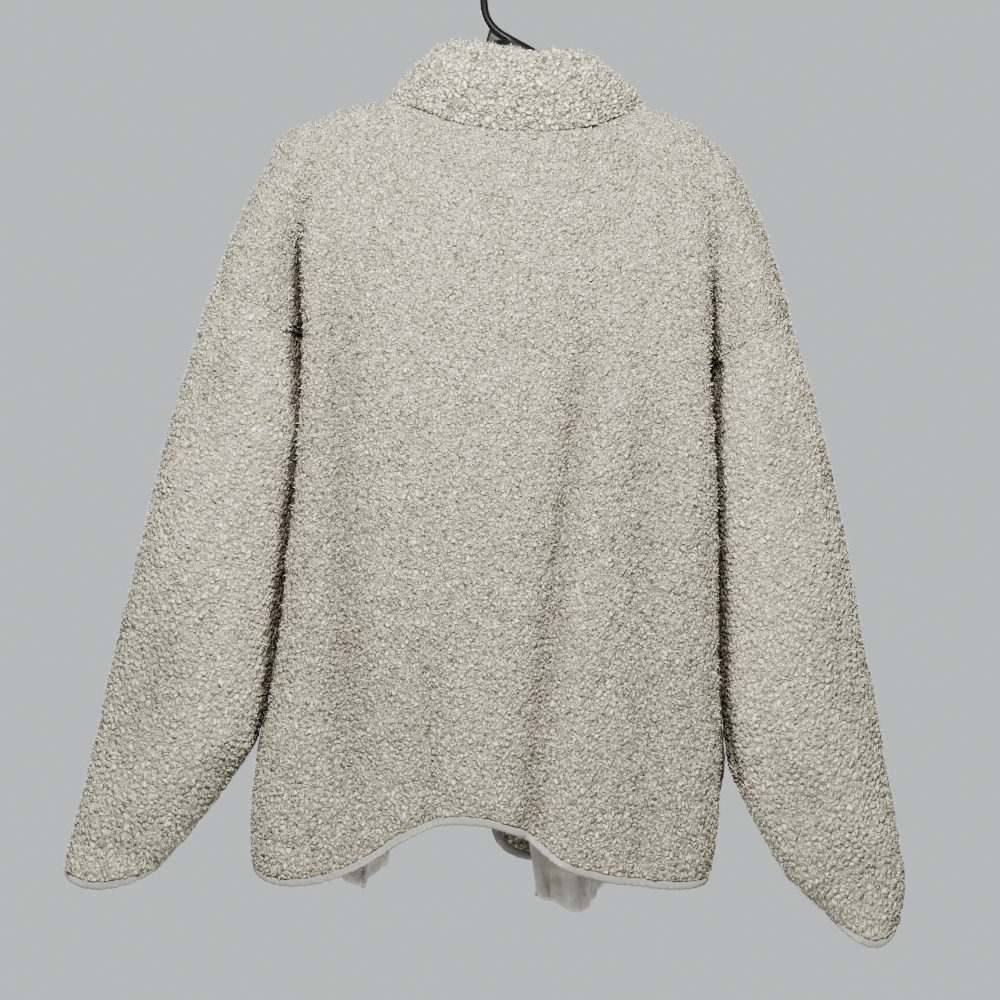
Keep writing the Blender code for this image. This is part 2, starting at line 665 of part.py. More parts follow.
def shortened(path, by):
    """Both ends of an open path are brought in, so neighbouring bands keep clear."""
    path = path.copy()
    for end, inner in ((0, 1), (-1, -2)):
        way = path[inner] - path[end]
        path[end] = path[end] + way / np.linalg.norm(way) * by
    return path


rows_total = len(UPPER) + len(LOWER)
last = rows_total - 1
cap_cols = len(CAP_STEPS) - 1
back_cols = GRIDS["back"].shape[1]
cells = [(last, c) for c in range(cap_cols, back_cols - cap_cols)]
path, norm, out = free_edge("back", cells)
out = out if out[len(out) // 2][2] < 0 else -out
edge_band("binding_back_hem", shortened(path, 2 * SEAM), norm, out, False)
for side in SIDES:
    name = "front_" + side
    cols = GRIDS[name].shape[1]
    if side == "left":
        hem = [(last, c) for c in range(cols - cap_cols - 1, -1, -1)]
        rise = [(r, 0) for r in range(last - 1, -1, -1)]
    else:
        hem = [(last, c) for c in range(cap_cols, cols)]
        rise = [(r, cols - 1) for r in range(last - 1, -1, -1)]
    path, norm, out = free_edge(name, hem + rise)
    out = out if out[2][2] < 0 else -out
    edge_band("binding_front_" + side, shortened(path, 2 * SEAM), norm, out, False)
    name = "sleeve_" + side
    cols = GRIDS[name].shape[1]
    cells = [(len(SLEEVE_STEPS) - 1, c) for c in range(cols - 1)]
    path, norm, out = free_edge(name, cells, closed=True)
    out = out if out[0][2] < 0 else -out
    edge_band("binding_cuff_" + side, path, norm, out, True)


# ---------------------------------------------------------------- pockets
TREES = {side: BVHTree.FromObject(bpy.data.objects["front_" + side], bpy.context.evaluated_depsgraph_get())
         for side in SIDES}


def front_skin(side, x, drop, outside):
    """Where the front's own wall is met at this x and drop, from outside or from inside, millimetres."""
    start = tilted(np.array([x, 200.0 if outside else -20.0, -drop]))
    hit = TREES[side].ray_cast(Vector(start), Vector((0, -1 if outside else 1, 0)))[0]
    if hit is None:
        return -999.0 if outside else 999.0
    return hit.y * 1000.0


def sheet_object(name, grid, thick, material):
    rows, cols = grid.shape[:2]
    n = np.cross(np.gradient(grid, axis=1), np.gradient(grid, axis=0))
    n /= np.linalg.norm(n, axis=2)[..., None]
    points = grid.reshape(-1, 3)
    faces = [[r * cols + c, (r + 1) * cols + c, (r + 1) * cols + c + 1, r * cols + c + 1]
             for r in range(rows - 1) for c in range(cols - 1)]
    return wall_object(name, points, points, faces, n.reshape(-1, 3), thick, material)


for side in SIDES:
    x0, x1, top, bottom = POCKET[side]
    grid = []
    for t in np.linspace(0, 1, 11):
        x = lerp(x0, x1, t)
        drop = lerp(top, bottom, t)
        near = [front_skin(side, x + w * WELT_WIDE, drop + d, True) for w in (-0.5, 0, 0.5) for d in (-7, 0, 7)]
        y = max(near) + 0.9 + WELT_THICK / 2
        grid.append([(x + w * WELT_WIDE, y, -drop) for w in (-0.5, 0.5)])
    sheet_object("pocket_welt_" + side, np.array(grid), WELT_THICK, "binding_cloth")

    x0, x1, top, bottom = BAG[side]
    grid = []
    for v in np.linspace(0, 1, 9):
        row = []
        for u in np.linspace(0, 1, 9):
            gather = ease((v - 0.25) / 0.75)
            x = lerp(0.5 * (x0 + x1), lerp(x0, x1, u), lerp(1.0, 0.78, ease(v)))
            low = bottom - 16.0 * abs(math.cos(u * math.pi * 1.5 + 0.4)) * gather - 10.0 * (2 * u - 1) ** 2
            drop = lerp(top, low, v)
            near = [front_skin(side, x + i, min(drop, 805.0) + j, False) for i in (-7, 0, 7) for j in (-9, 0, 9)]
            y = min(near) - BAG_WALL / 2 - BAG_GAP
            y = y - gather * (8.0 + 7.0 * (0.5 + 0.5 * math.sin(u * math.pi * 5.0 + 0.6)))
            row.append((x, y, -drop))
        grid.append(row)
    sheet_object("pocket_bag_" + side, np.array(grid), BAG_WALL, "pocket_cloth")


# ---------------------------------------------------------------- hanger: arms, web and hook, one moulding
ARM_PATH = (
    (-197, 180.5), (-184, 172.5), (-151, 158), (-114, 148.5), (-95, 146), (-74, 128), (-50, 105), (-26, 86),
    (0, 75), (22, 83), (52, 101), (82, 125), (104, 143), (122, 145), (138, 145), (170, 160), (190, 174), (199, 182),
)
HOOK_PATH_LOW = ((20, 84), (8, 77), (-4, 71), (-14, 65), (-22, 56.5), (-26.8, 47), (-28.6, 37))


def swept(name, path, sides, half_y, half_z, power):
    """Tube along a path in the hanger's plane, rounded-square section, closed ends."""
    path = np.array([(x, 0.0, -d) for x, d in path], float)
    verts, faces = [], []
    for i, p in enumerate(path):
        a = path[max(i - 1, 0)]
        b = path[min(i + 1, len(path) - 1)]
        along = (b - a) / np.linalg.norm(b - a)
        up = np.array([-along[2], 0.0, along[0]])
        size = 0.72 if i in (0, len(path) - 1) else 1.0
        for k in range(sides):
            ang = 2 * math.pi * k / sides
            c, s = math.cos(ang), math.sin(ang)
            cy = math.copysign(abs(c) ** power, c) * half_y * size
            cz = math.copysign(abs(s) ** power, s) * half_z * size
            verts.append(p + np.array([0.0, cy, 0.0]) + up * cz)
    for i in range(len(path) - 1):
        for k in range(sides):
            j = (k + 1) % sides
            faces.append([i * sides + k, i * sides + j, (i + 1) * sides + j, (i + 1) * sides + k])
    faces.append(list(range(sides)))
    faces.append([(len(path) - 1) * sides + k for k in range(sides)][::-1])
    return make_object(name, verts, faces, "black_plastic")


tilt = math.radians(HANG_TILT)
middle_r = HOOK_INNER_R + HOOK_ROD_R
hook_centre = (HOOK_INNER_R * math.sin(tilt), HOOK_INNER_R * math.cos(tilt))
hook_path = list(HOOK_PATH_LOW)
for step in range(0, 19):
    ang = math.radians(180 - step * 10.0)
    hook_path.append((hook_centre[0] + middle_r * math.cos(ang), hook_centre[1] - middle_r * math.sin(ang)))

arms = swept("hanger", ARM_PATH, 12, ARM_WIDE / 2, ARM_TALL / 2, 0.6)
hook = swept("hook_tool", hook_path, 14, HOOK_ROD_R, HOOK_ROD_R, 1.0)
web_line = ((-52, 101), (-30, 82), (-25, 73), (-23, 62), (-12, 67), (0, 74), (22, 84), (54, 101), (2, 112))
web = []
for y in (-1.6, 1.6):
    web.extend((x, y, -d) for x, d in web_line)
m = len(web_line)
web_faces = [list(range(m)), [i + m for i in range(m)][::-1]]
web_faces += [[(i + 1) % m, i, i + m, (i + 1) % m + m] for i in range(m)]
web_obj = make_object("web_tool", web, web_faces, "black_plastic")
tools = bpy.data.collections.new("cutters")
bpy.context.scene.collection.children.link(tools)
rib = swept("rib_tool", ((-17, 78), (-5, 69), (18, 80)), 4, 2.5, 1.0, 1.0)
for tool in (hook, web_obj, rib):
    COLLECTION.objects.unlink(tool)
    tools.objects.link(tool)
    tool.hide_render = True
    tool.display_type = "WIRE"
    mod = arms.modifiers.new("join_" + tool.name, "BOOLEAN")
    mod.operation = "UNION"
    mod.solver = "EXACT"
    mod.object = tool

for obj in COLLECTION.objects:
    count = sum(len(p.vertices) - 2 for p in obj.data.polygons)
    print(obj.name, count, "triangles")
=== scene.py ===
# %% [markdown]
# A sherpa jacket on a plastic hanger, seen from its back.
#
# The jacket is cut from a thick cream pile cloth, bound at hem and cuffs with a smooth stretch band, and it
# hangs from one black moulded hanger. The whole stands on one idea: every cut piece is a sheet that could be
# laid flat, so each is made as a sheet first, given its pile, and closed into a thin shell.
# The imported model comes in as a fixed frame.

# %% The frame
import math

import bmesh
import bpy
import numpy as np
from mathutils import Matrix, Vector
from mathutils.bvhtree import BVHTree
from mathutils.geometry import delaunay_2d_cdt
from mathutils.kdtree import KDTree


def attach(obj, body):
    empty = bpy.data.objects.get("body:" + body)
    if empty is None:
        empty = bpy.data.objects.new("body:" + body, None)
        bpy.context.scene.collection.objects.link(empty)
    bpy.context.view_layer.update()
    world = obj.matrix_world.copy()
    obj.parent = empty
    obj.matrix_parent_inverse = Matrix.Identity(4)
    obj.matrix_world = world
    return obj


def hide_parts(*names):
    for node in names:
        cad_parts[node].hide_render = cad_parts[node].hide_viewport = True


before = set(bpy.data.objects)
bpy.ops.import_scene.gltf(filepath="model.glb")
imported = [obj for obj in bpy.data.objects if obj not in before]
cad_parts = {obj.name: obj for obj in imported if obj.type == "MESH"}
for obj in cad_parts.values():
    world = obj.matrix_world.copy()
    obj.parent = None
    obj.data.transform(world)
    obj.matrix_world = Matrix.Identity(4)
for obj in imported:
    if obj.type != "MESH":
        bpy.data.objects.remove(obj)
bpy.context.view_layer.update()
BODY_NAME = "root"

# %% [markdown]
# The camera looks straight at the back from 1.25 m, a little left of the hook, and takes in 0.93 m.
# A camera is an empty with a lens: `angle` sets how wide it sees. It is made first, since everything else is
# judged through it.

# %% Camera
VIEW_WIDE = 0.93
VIEW_FAR = 1.25
camera = bpy.data.objects.new("camera", bpy.data.cameras.new("camera"))
bpy.context.scene.collection.objects.link(camera)
camera.data.angle = 2 * math.atan(VIEW_WIDE / 2 / VIEW_FAR)
camera.data.clip_start = 0.01
camera.location = (-0.0158, -VIEW_FAR, -0.4966)
camera.rotation_euler = (math.radians(90), 0, 0)
bpy.context.scene.camera = camera

# %% [markdown]
# Studio light: one lamp near the viewer, level with the hook. Being near and high, it fades toward hem and
# cuffs, and it leaves the sides of each fold that turn away from the middle darker. Two broad lamps further off
# light the jacket's front. The floor lies well below the cuffs, as the jacket hangs free.

# %% Lights and floor
LAMPS = (
    # name, place, size, power in watts, colour
    ("lamp_back", (-0.02, -0.88, 0.06), 0.24, 40.0, (1.0, 0.958, 0.870)),
    ("lamp_back_side", (-0.80, -0.90, 0.20), 0.5, 4.0, (0.97, 0.985, 1.0)),
    ("lamp_front_left", (-0.7, 1.1, 0.1), 0.5, 31.0, (1.0, 0.98, 0.94)),
    ("lamp_front_right", (0.7, 1.1, 0.2), 0.5, 25.0, (1.0, 0.98, 0.94)),
)
AIM = Vector((0.0, 0.0, -0.40))
ROOM_LIGHT = 0.24


def lamp(name, place, size, power, colour):
    data = bpy.data.lights.new(name, "AREA")
    data.shape = "DISK"
    data.size = size
    data.energy = power
    data.color = colour
    made = bpy.data.objects.new(name, data)
    made.location = place
    made.rotation_euler = (AIM - Vector(place)).to_track_quat("-Z", "Y").to_euler()
    bpy.context.scene.collection.objects.link(made)


for row in LAMPS:
    lamp(*row)
world = bpy.data.worlds.new("pale_room")
world.use_nodes = True
background = world.node_tree.nodes["Background"]
background.inputs["Color"].default_value = (0.70, 0.72, 0.73, 1)
# The room looks pale but gives only part of its light, as a dark studio with a lit wall does.
ray = world.node_tree.nodes.new("ShaderNodeLightPath")
reach = world.node_tree.nodes.new("ShaderNodeMapRange")
reach.inputs["To Min"].default_value = ROOM_LIGHT
reach.inputs["To Max"].default_value = 1.0
world.node_tree.links.new(ray.outputs["Is Camera Ray"], reach.inputs["Value"])
world.node_tree.links.new(reach.outputs[0], background.inputs["Strength"])
bpy.context.scene.world = world

FLOOR_Z = -1.55
floor_mesh = bpy.data.meshes.new("floor")
bm = bmesh.new()
bmesh.ops.create_circle(bm, cap_ends=True, segments=96, radius=1.5)
bmesh.ops.translate(bm, verts=bm.verts, vec=(0, 0, FLOOR_Z))
bm.to_mesh(floor_mesh)
bm.free()
floor = bpy.data.objects.new("floor", floor_mesh)
bpy.context.scene.collection.objects.link(floor)
print("floor at", FLOOR_Z, "m;", len(LAMPS), "lamps")

# %% [markdown]
# Shader maths reads best as a sum or product. `Value` wraps one socket, and adding two of them adds a Math node.
# Colours go through Mix nodes, because a Math node would turn them grey.

# %% A small language for materials


class Value:
    """A number on its way through a node tree."""

    def __init__(self, tree, socket):
        self.tree = tree
        self.socket = socket

    def maths(self, operation, a, b=None):
        return self.tree.node("ShaderNodeMath", {"operation": operation}, [a] if b is None else [a, b])

    def __add__(self, other):
        return self.maths("ADD", self, other)

    def __radd__(self, other):
        return self.maths("ADD", other, self)

    def __sub__(self, other):
        return self.maths("SUBTRACT", self, other)

    def __rsub__(self, other):
        return self.maths("SUBTRACT", other, self)

    def __mul__(self, other):
        return self.maths("MULTIPLY", self, other)

    def __rmul__(self, other):
        return self.maths("MULTIPLY", other, self)


class Finish:
    """One material: a Principled shader with nodes behind it."""

    def __init__(self, name, **constants):
        self.material = bpy.data.materials.new(name)
        self.material.use_nodes = True
        self.nodes = self.material.node_tree.nodes
        self.links = self.material.node_tree.links
        self.shader = self.nodes["Principled BSDF"]
        for label, value in constants.items():
            self.set(label.replace("_", " ").title().replace("Ior", "IOR"), value)

    def set(self, label, value):
        """Puts a number, a colour or a link on one of the shader's sockets."""
        self.put(self.shader.inputs[label], value)

    def put(self, socket, value):
        if isinstance(value, Value):
            self.links.new(value.socket, socket)
        elif hasattr(value, "__len__") and len(value) == 3 and len(socket.default_value) == 4:
            socket.default_value = (*value, 1)
        else:
            socket.default_value = value

    def node(self, kind, settings=None, inputs=(), output=0):
        """Any node: its settings first, then its inputs by number or by name."""
        made = self.nodes.new(kind)
        for label, value in (settings or {}).items():
            setattr(made, label, value)
        pairs = inputs.items() if isinstance(inputs, dict) else enumerate(inputs)
        for label, value in pairs:
            self.put(made.inputs[label], value)
        return Value(self, made.outputs[output])

    def place(self):
        return self.node("ShaderNodeTexCoord", output="Object")

    def noise(self, scale, detail=2.0, rough=0.5):
        return self.node("ShaderNodeTexNoise", {}, {
            "Vector": self.place(), "Scale": scale, "Detail": detail, "Roughness": rough})

    def clamp(self, value, low, high):
        """The value's stretch from low to high, as 0 to 1."""
        return self.node("ShaderNodeMapRange", {"clamp": True}, {
            "Value": value, "From Min": low, "From Max": high, "To Min": 0.0, "To Max": 1.0})

    def mix(self, share, a, b):
        """Two colours mixed by a share."""
        made = self.nodes.new("ShaderNodeMix")
        made.data_type = "RGBA"
        self.put(made.inputs[0], share)
        self.put(made.inputs[6], a)
        self.put(made.inputs[7], b)
        return Value(self, made.outputs[2])

    def bump(self, height, metres, strength=1.0):
        normal = self.node("ShaderNodeBump", {}, {"Height": height, "Distance": metres, "Strength": strength})
        self.set("Normal", normal)

# %% [markdown]
# Sherpa is a knit whose looped pile has been raised and balled into small curls. Seen close, the curls are pale
# and soft on top, and dark warm cracks run between them. The curls are real shapes here, so the material adds
# what is finer: painted shade in the cracks, from an attribute that the mesh carries and from drawn lines
# between smaller curls, painted shade in the folds and near-black painted shade in the slits beside the
# sleeves, fibres under a millimetre, and slow changes of cream across the cloth. Sheen gives the pale bloom
# that fibres have where they turn away.

# %% Sherpa, outside and inside
CREAM = (0.845, 0.805, 0.635)
CREAM_PALE = (0.965, 0.940, 0.785)
# Painted shade: the colours toward which the cracks between curls, the fold bottoms and the slits beside the sleeves
# are darkened.
CRACK_PAINTED_SHADE = (0.070, 0.060, 0.040)
FOLD_PAINTED_SHADE = (0.42, 0.385, 0.32)
SLIT_PAINTED_SHADE = (0.045, 0.034, 0.022)


def sherpa_finish(name, modelled, clump=0.62, worm=1.0, size=1.0):
    """modelled is for the side whose large curls are real shapes that carry the attribute "crack"."""
    pile = Finish(name, roughness=1.0, sheen_weight=0.32, sheen_roughness=0.5,
                  sheen_tint=(1.0, 0.92, 0.78), specular_ior_level=0.12)
    # Small curls are cells of stirred ground, and level lines of slow noise join some of them into worms.
    # They grow toward the hem, where the pile has been brushed less.
    height = pile.node("ShaderNodeSeparateXYZ", {}, [pile.place()], output=2)
    low = pile.clamp(height * -1.0, 0.15, 0.95)
    grow = (1.0 - low * 0.30) * (1.0 / size)
    here = pile.node("ShaderNodeVectorMath", {"operation": "SCALE"}, {"Vector": pile.place(), "Scale": grow})
    field = pile.node("ShaderNodeTexNoise", {}, {"Vector": here, "Scale": 110.0, "Detail": 1.6, "Roughness": 0.45})
    wave = pile.node("ShaderNodeMath", {"operation": "SINE"}, [field * 17.0])
    level = pile.node("ShaderNodeMath", {"operation": "ABSOLUTE"}, [wave])
    stir = pile.node("ShaderNodeTexNoise", {}, {"Vector": here, "Scale": 170.0, "Detail": 2.0}, "Color")
    stir = pile.node("ShaderNodeVectorMath", {"operation": "SCALE"}, {"Vector": stir, "Scale": 0.008})
    stirred = pile.node("ShaderNodeVectorMath", {"operation": "ADD"}, [here, stir])
    bead = pile.node("ShaderNodeTexVoronoi", {"feature": "DISTANCE_TO_EDGE"}, {"Vector": stirred, "Scale": 360.0})
    bead = pile.clamp(bead, 0.0, 0.30)
    line = pile.node("ShaderNodeMath", {"operation": "MINIMUM"}, [bead, level * 2.0 + 0.20])
    winding = 1 - pile.clamp(line, 0.12, 0.62)
    broken = pile.clamp(pile.noise(230.0, 1.0, 0.5), 0.38, 0.52)
    fine = winding * (broken * 0.40 + 0.60) * (1.45 - low * 0.60) * worm
    fibre = pile.noise(1500.0, 2.0, 0.6)
    if modelled:
        crack = pile.node("ShaderNodeAttribute", {"attribute_name": "crack"}, {}, "Fac")
        deep = pile.clamp(crack, 0.25, 1.0) * clump
    else:
        large = pile.node("ShaderNodeTexVoronoi", {"feature": "DISTANCE_TO_EDGE"}, {
            "Vector": pile.place(), "Scale": 165.0, "Randomness": 1.0})
        deep = 1 - pile.clamp(large, 0.02, 0.20)
    # Painted shade in the cracks: the modelled ones, or drawn ones on the plain side, and the drawn lines between
    # small curls, which are stronger near the top.
    dark = pile.node("ShaderNodeMath", {"operation": "MAXIMUM"}, [deep, fine])
    drift = pile.clamp(pile.noise(22.0, 4.0, 0.6), 0.34, 0.66)
    lock = pile.clamp(pile.noise(240.0, 2.0, 0.5), 0.36, 0.66)
    colour = pile.mix(drift * 0.45 + lock * 0.45, CREAM, CREAM_PALE)
    sunk = pile.node("ShaderNodeAttribute", {"attribute_name": "hollow"}, {}, "Fac")
    hollow = pile.clamp(sunk, 0.0, 1.0)
    # Painted shade: in folds and dents the colour darkens by "hollow", and the crack shade deepens there.
    folded = pile.mix(dark * (hollow * 0.10 + 0.90), pile.mix(hollow * 0.55, colour, FOLD_PAINTED_SHADE), CRACK_PAINTED_SHADE)
    # Near-black painted shade deep in the slits beside the sleeves, where "hollow" runs from 1 to 2.
    pile.set("Base Color", pile.mix(pile.clamp(sunk, 1.0, 2.0), folded, SLIT_PAINTED_SHADE))
    pile.bump(fibre * 0.25 + line * 1.0 - deep * 0.5, 0.0032, 1.0)
    return pile.material


SHERPA = sherpa_finish("sherpa_pile", True)
SHERPA_LONG = sherpa_finish("sherpa_long_pile", True, clump=0.85, worm=0.74, size=1.30)
SHERPA_COLLAR = sherpa_finish("sherpa_collar_pile", True, clump=1.0, worm=1.0, size=1.9)
SHERPA_INSIDE = sherpa_finish("sherpa_inside", False)
TIPS = Finish("sherpa_tips", base_color=(0.88, 0.855, 0.745), roughness=1.0, specular_ior_level=0.1).material

# %% [markdown]
# The binding is a smooth knitted stretch tape folded over the raw edge: off-white, slightly glossier than the
# pile, with fine ribs along its length. The pocket cloth is thin and plain, and creases into flat facets.
# The hanger is glossy black plastic, barely uneven, with a thin film of dust that dulls it in places.

# %% Binding, pocket cloth, plastic
tape = Finish("binding_tape", roughness=0.78, sheen_weight=0.2, sheen_roughness=0.4)
knit = tape.noise(900.0, 2.0, 0.6)
soil = tape.clamp(tape.noise(28.0, 3.0), 0.42, 0.75)
ribs = tape.node("ShaderNodeTexWave", {"wave_type": "BANDS", "bands_direction": "X"}, {
    "Vector": tape.node("ShaderNodeUVMap", {"uv_map": "OFBake"}), "Scale": 40.0, "Distortion": 0.6})
tape.set("Base Color", tape.mix(soil * 0.35, (0.76, 0.752, 0.73), (0.67, 0.65, 0.61)))
tape.bump(knit * 0.8 + ribs * 0.5, 0.0008, 1.0)
BINDING = tape.material

lining = Finish("pocket_cloth_weave", roughness=0.82, sheen_weight=0.1)
threads = lining.noise(1400.0, 1.0)
shade = lining.clamp(lining.noise(45.0, 3.0), 0.35, 0.72)
lining.set("Base Color", lining.mix(shade * 0.5, (0.88, 0.86, 0.81), (0.74, 0.71, 0.64)))
lining.bump(threads * 0.2 + lining.noise(110.0, 2.0) * 1.5, 0.0022, 0.8)
POCKET_CLOTH = lining.material

moulded = Finish("black_moulding", base_color=(0.005, 0.005, 0.006), ior=1.45, specular_ior_level=0.06)
film = moulded.clamp(moulded.noise(60.0, 4.0), 0.45, 0.80)
moulded.set("Roughness", film * 0.12 + 0.24)
moulded.bump(moulded.noise(220.0, 1.0), 0.00006, 0.5)
BLACK_PLASTIC = moulded.material

ground = Finish("pale_floor", roughness=0.9)
grain = ground.clamp(ground.noise(3.0, 4.0), 0.3, 0.7)
ground.set("Base Color", ground.mix(grain, (0.60, 0.61, 0.61), (0.63, 0.635, 0.63)))
floor.data.materials.append(ground.material)
print("finishes:", len(bpy.data.materials))

# %% [markdown]
# The jacket's form is kept in short tables with named columns. A smooth cubic joins the rows of each, and a few
# helpers blend between two values.

# %% Helpers


def smooth(keys, values, at):
    """Cubic through a short table; flat outside it."""
    k = np.asarray(keys, float)
    v = np.asarray(values, float)
    x = np.clip(np.asarray(at, float), k[0], k[-1])
    step = np.diff(k)
    rise = np.diff(v) / step
    slope = np.empty_like(v)
    slope[0] = rise[0]
    slope[-1] = rise[-1]
    slope[1:-1] = (rise[:-1] * step[1:] + rise[1:] * step[:-1]) / (step[:-1] + step[1:])
    i = np.clip(np.searchsorted(k, x, side="right") - 1, 0, len(step) - 1)
    t = (x - k[i]) / step[i]
    a = v[i] * (1 + 2 * t) * (1 - t) ** 2 + v[i + 1] * t * t * (3 - 2 * t)
    b = slope[i] * t * (1 - t) ** 2 - slope[i + 1] * t * t * (1 - t)
    return a + b * step[i]


class Table:
    """Rows of numbers under named columns; the first column is what the others are read against."""

    def __init__(self, names, rows):
        self.names = names.split()
        self.rows = np.array(rows, float)

    def __getitem__(self, row):
        return self.rows[row]

    def at(self, name, where):
        return smooth(self.rows[:, 0], self.rows[:, self.names.index(name)], where)


def lerp(a, b, t):
    return a + (b - a) * t


def ease(t):
    t = np.clip(t, 0, 1)
    return t * t * (3 - 2 * t)


def quarter(t):
    """Quarter circle: steep at 0, flat at 1."""
    t = np.clip(t, 0, 1)
    return np.sqrt(np.maximum(0, 1 - (1 - t) ** 2))


def fold_depth(face, x, drop):
    total = np.zeros(np.broadcast(x, drop).shape)
    for _, on, top, bottom, x0, x1, wide, deep in FOLDS:
        if on != face:
            continue
        t = (drop - top) / (bottom - top)
        line = lerp(x0, x1, ease(t))
        fade = ease(t * 3.5) * ease((1.12 - t) * 4.0)
        total = total + deep * fade * np.exp(-((x - line) / wide) ** 2)
    return total


def hung(points):
    """From the hanger's own frame in millimetres to metres, with the whole tipped."""
    x, y, z = points[..., 0], points[..., 1], points[..., 2]
    c, s = math.cos(HANG_TILT), math.sin(HANG_TILT)
    return np.stack([x * c + z * s, y, -x * s + z * c], axis=-1) * 0.001


# %% [markdown]
# The jacket's sizes are in millimetres in the hanger's own frame: x to the right as the back is seen, y from
# back to front, and "drop" down from the hook. The whole is then tipped a few degrees, as it hangs.

# %% Sizes
HANG_TILT = math.radians(3.1)
SHOULDER_ROUND = 16.0    # radius of the cloth where it turns over the hanger's arm
GROOVE = 9.0             # half width of the fold under each arm
SIDES = {"left": -1.0, "right": 1.0}
WAY = {"back": -1.0, "front": 1.0}
UNDERARM = {"left": (-186.0, 10.0, 348.0), "right": (205.0, 10.0, 356.0)}
LEAN_END = {"left": 757.0, "right": 775.0}   # where the sleeves hang clear of the body
LEAN_DEPTH, LEAN_REACH = 26.0, 17.0          # where between back and front they lean together, and how widely
LEAN_REST, LEAN_MOST = 1.7, 8.5              # half the space that is left, and the furthest either may lean
NECK_POINT = {"left": -110.0, "right": 122.0}
CENTRE_X = 7.0

# Body below the arms: silhouettes, the side seam's depth, the two faces and how wide the corners are.
BODY = Table("drop left right side back front corner", (
    (340, -176, 194, 10, -42, 51, 14),
    (368, -176, 196, 10, -43, 52, 14),
    (414, -175, 202, 10, -45, 53, 18),
    (461, -177, 208, 10, -46, 54, 26),
    (508, -178, 212, 9, -47, 54, 36),
    (555, -181, 215, 8, -47, 54, 44),
    (601, -183, 218, 8, -48, 54, 50),
    (648, -186, 221, 8, -48, 55, 52),
    (695, -190, 225, 8, -48, 56, 54),
    (734, -197, 227, 8, -49, 57, 54),
    (775, -200, 226, 8, -49, 58, 52),
    (810, -201, 224, 8, -48, 58, 48),
    (838, -198, 219, 8, -46, 57, 44),
    (862, -190, 211, 8, -43, 56, 40),
))

# Sleeves: outer and inner silhouettes seen from behind, then the section's middle and half depth.
SLEEVE = {side: Table("drop outer inner middle half", rows) for side, rows in {
    "left": (
        (300, -257, -195, 10, 58),
        (326, -265, -196, 10, 58),
        (373, -277, -188, 10, 60),
        (420, -289, -182, 10, 62),
        (468, -300, -183.5, 10, 62),
        (515, -309, -188, 9, 60),
        (562, -318, -191, 8, 57),
        (609, -326, -194, 7, 54),
        (656, -335, -198, 6, 51),
        (703, -343, -202, 5, 48),
        (742, -349, -212, 4, 46),
        (773, -354, -230, 3, 43),
        (811, -362, -257, 2, 39),
        (839, -368, -279, 1, 35),
        (866, -370, -298, 0, 31),
    ),
    "right": (
        (300, 262, 214, 10, 58),
        (343, 276, 212, 10, 58),
        (388, 293, 209, 10, 60),
        (434, 308, 212, 10, 62),
        (480, 320, 217, 10, 62),
        (526, 332, 221, 9, 60),
        (572, 343, 226, 8, 57),
        (618, 354, 229, 7, 54),
        (664, 366, 233, 6, 51),
        (719, 378, 244, 5, 48),
        (765, 388, 259, 4, 45),
        (802, 397, 280, 3, 41),
        (834, 402, 303, 2, 37),
        (860, 398, 334, 1, 33),
        (884, 392, 352, 0, 30),
    ),
}.items()}
# Where the sleeve cloth stops above its cuff binding: outer side, middle of the back, inner side.
CUFF_DROP = {"left": (855.0, 861.0, 849.0), "right": (864.0, 876.0, 862.0)}


# %% [markdown]
# The upper body hangs from the hanger's ends. Its top edge, the fold down to each underarm and the outermost line
# of each dropped shoulder are given, and the cloth is drawn between them.

# %% Shoulders, neck, hem and collar
# Top edge of the body, seen from behind: shoulder, neck seam, shoulder.
TOP = Table("x drop depth", (
    (-203, 168.5, 0), (-190, 161.5, 0), (-151, 146, 0), (-126, 137.5, 0), (-110, 134, 3),
    (-92, 138, -10), (-50, 153, -25), (11, 161, -33), (76, 150, -26), (106, 134, -10),
    (122, 128, 3), (138, 132, 0), (176, 148, 0), (199, 165, 0), (208, 174, 0),
))
# The front half of the neck seam, from the neck point down to the front edge.
FRONT_NECK = {side: Table("along x drop depth", rows) for side, rows in {
    "left": ((0.0, -110, 134, 3), (0.35, -96, 148, 22), (0.7, -66, 176, 40), (1.0, -34, 196, 49)),
    "right": ((0.0, 122, 128, 3), (0.35, 110, 143, 22), (0.7, 80, 172, 40), (1.0, 46, 193, 49)),
}.items()}
# The fold line that starts near the hanger's end and runs down to the underarm.
FOLD = {side: Table("drop x back front", rows) for side, rows in {
    "left": (
        (156, -176, 0, 0), (176, -179, -17, 17), (200, -182, -23, 25), (235, -187, -18, 31),
        (280, -190, 1, 27), (320, -188, 9, 20), (348, -186, 10, 10),
    ),
    "right": (
        (158, 190, 0, 0), (178, 192, -17, 17), (203, 194, -23, 25), (240, 197, -19, 31),
        (285, 200, -2, 27), (328, 203, 8, 20), (356, 205, 10, 10),
    ),
}.items()}
# The outermost line of the dropped shoulder, from the hanger's end to the sleeve seam.
CAP = {side: Table("drop x depth", rows) for side, rows in {
    "left": ((168.5, -203, 0), (176, -210, 1), (193, -217, 3), (231, -234, 6), (279, -250, 9), (311, -260, 10)),
    "right": ((174, 208, 0), (181, 213, 1), (198, 222, 3), (240, 242, 6), (290, 259, 9), (313, 266, 10)),
}.items()}
# Lower edge of the cloth, above the binding.
HEM_BACK = Table("x drop", (
    (-200, 843), (-183, 845), (-150, 844), (-123, 837), (-92, 821), (-62, 798), (-28, 783),
    (0, 780), (27, 783), (55, 795), (82, 812), (119, 824), (165, 829), (222, 830),
))
HEM_FRONT = {"left": 838.0, "right": 838.0}
FRONT_CORNER = 26.0      # how far the rounded corner of each front rises
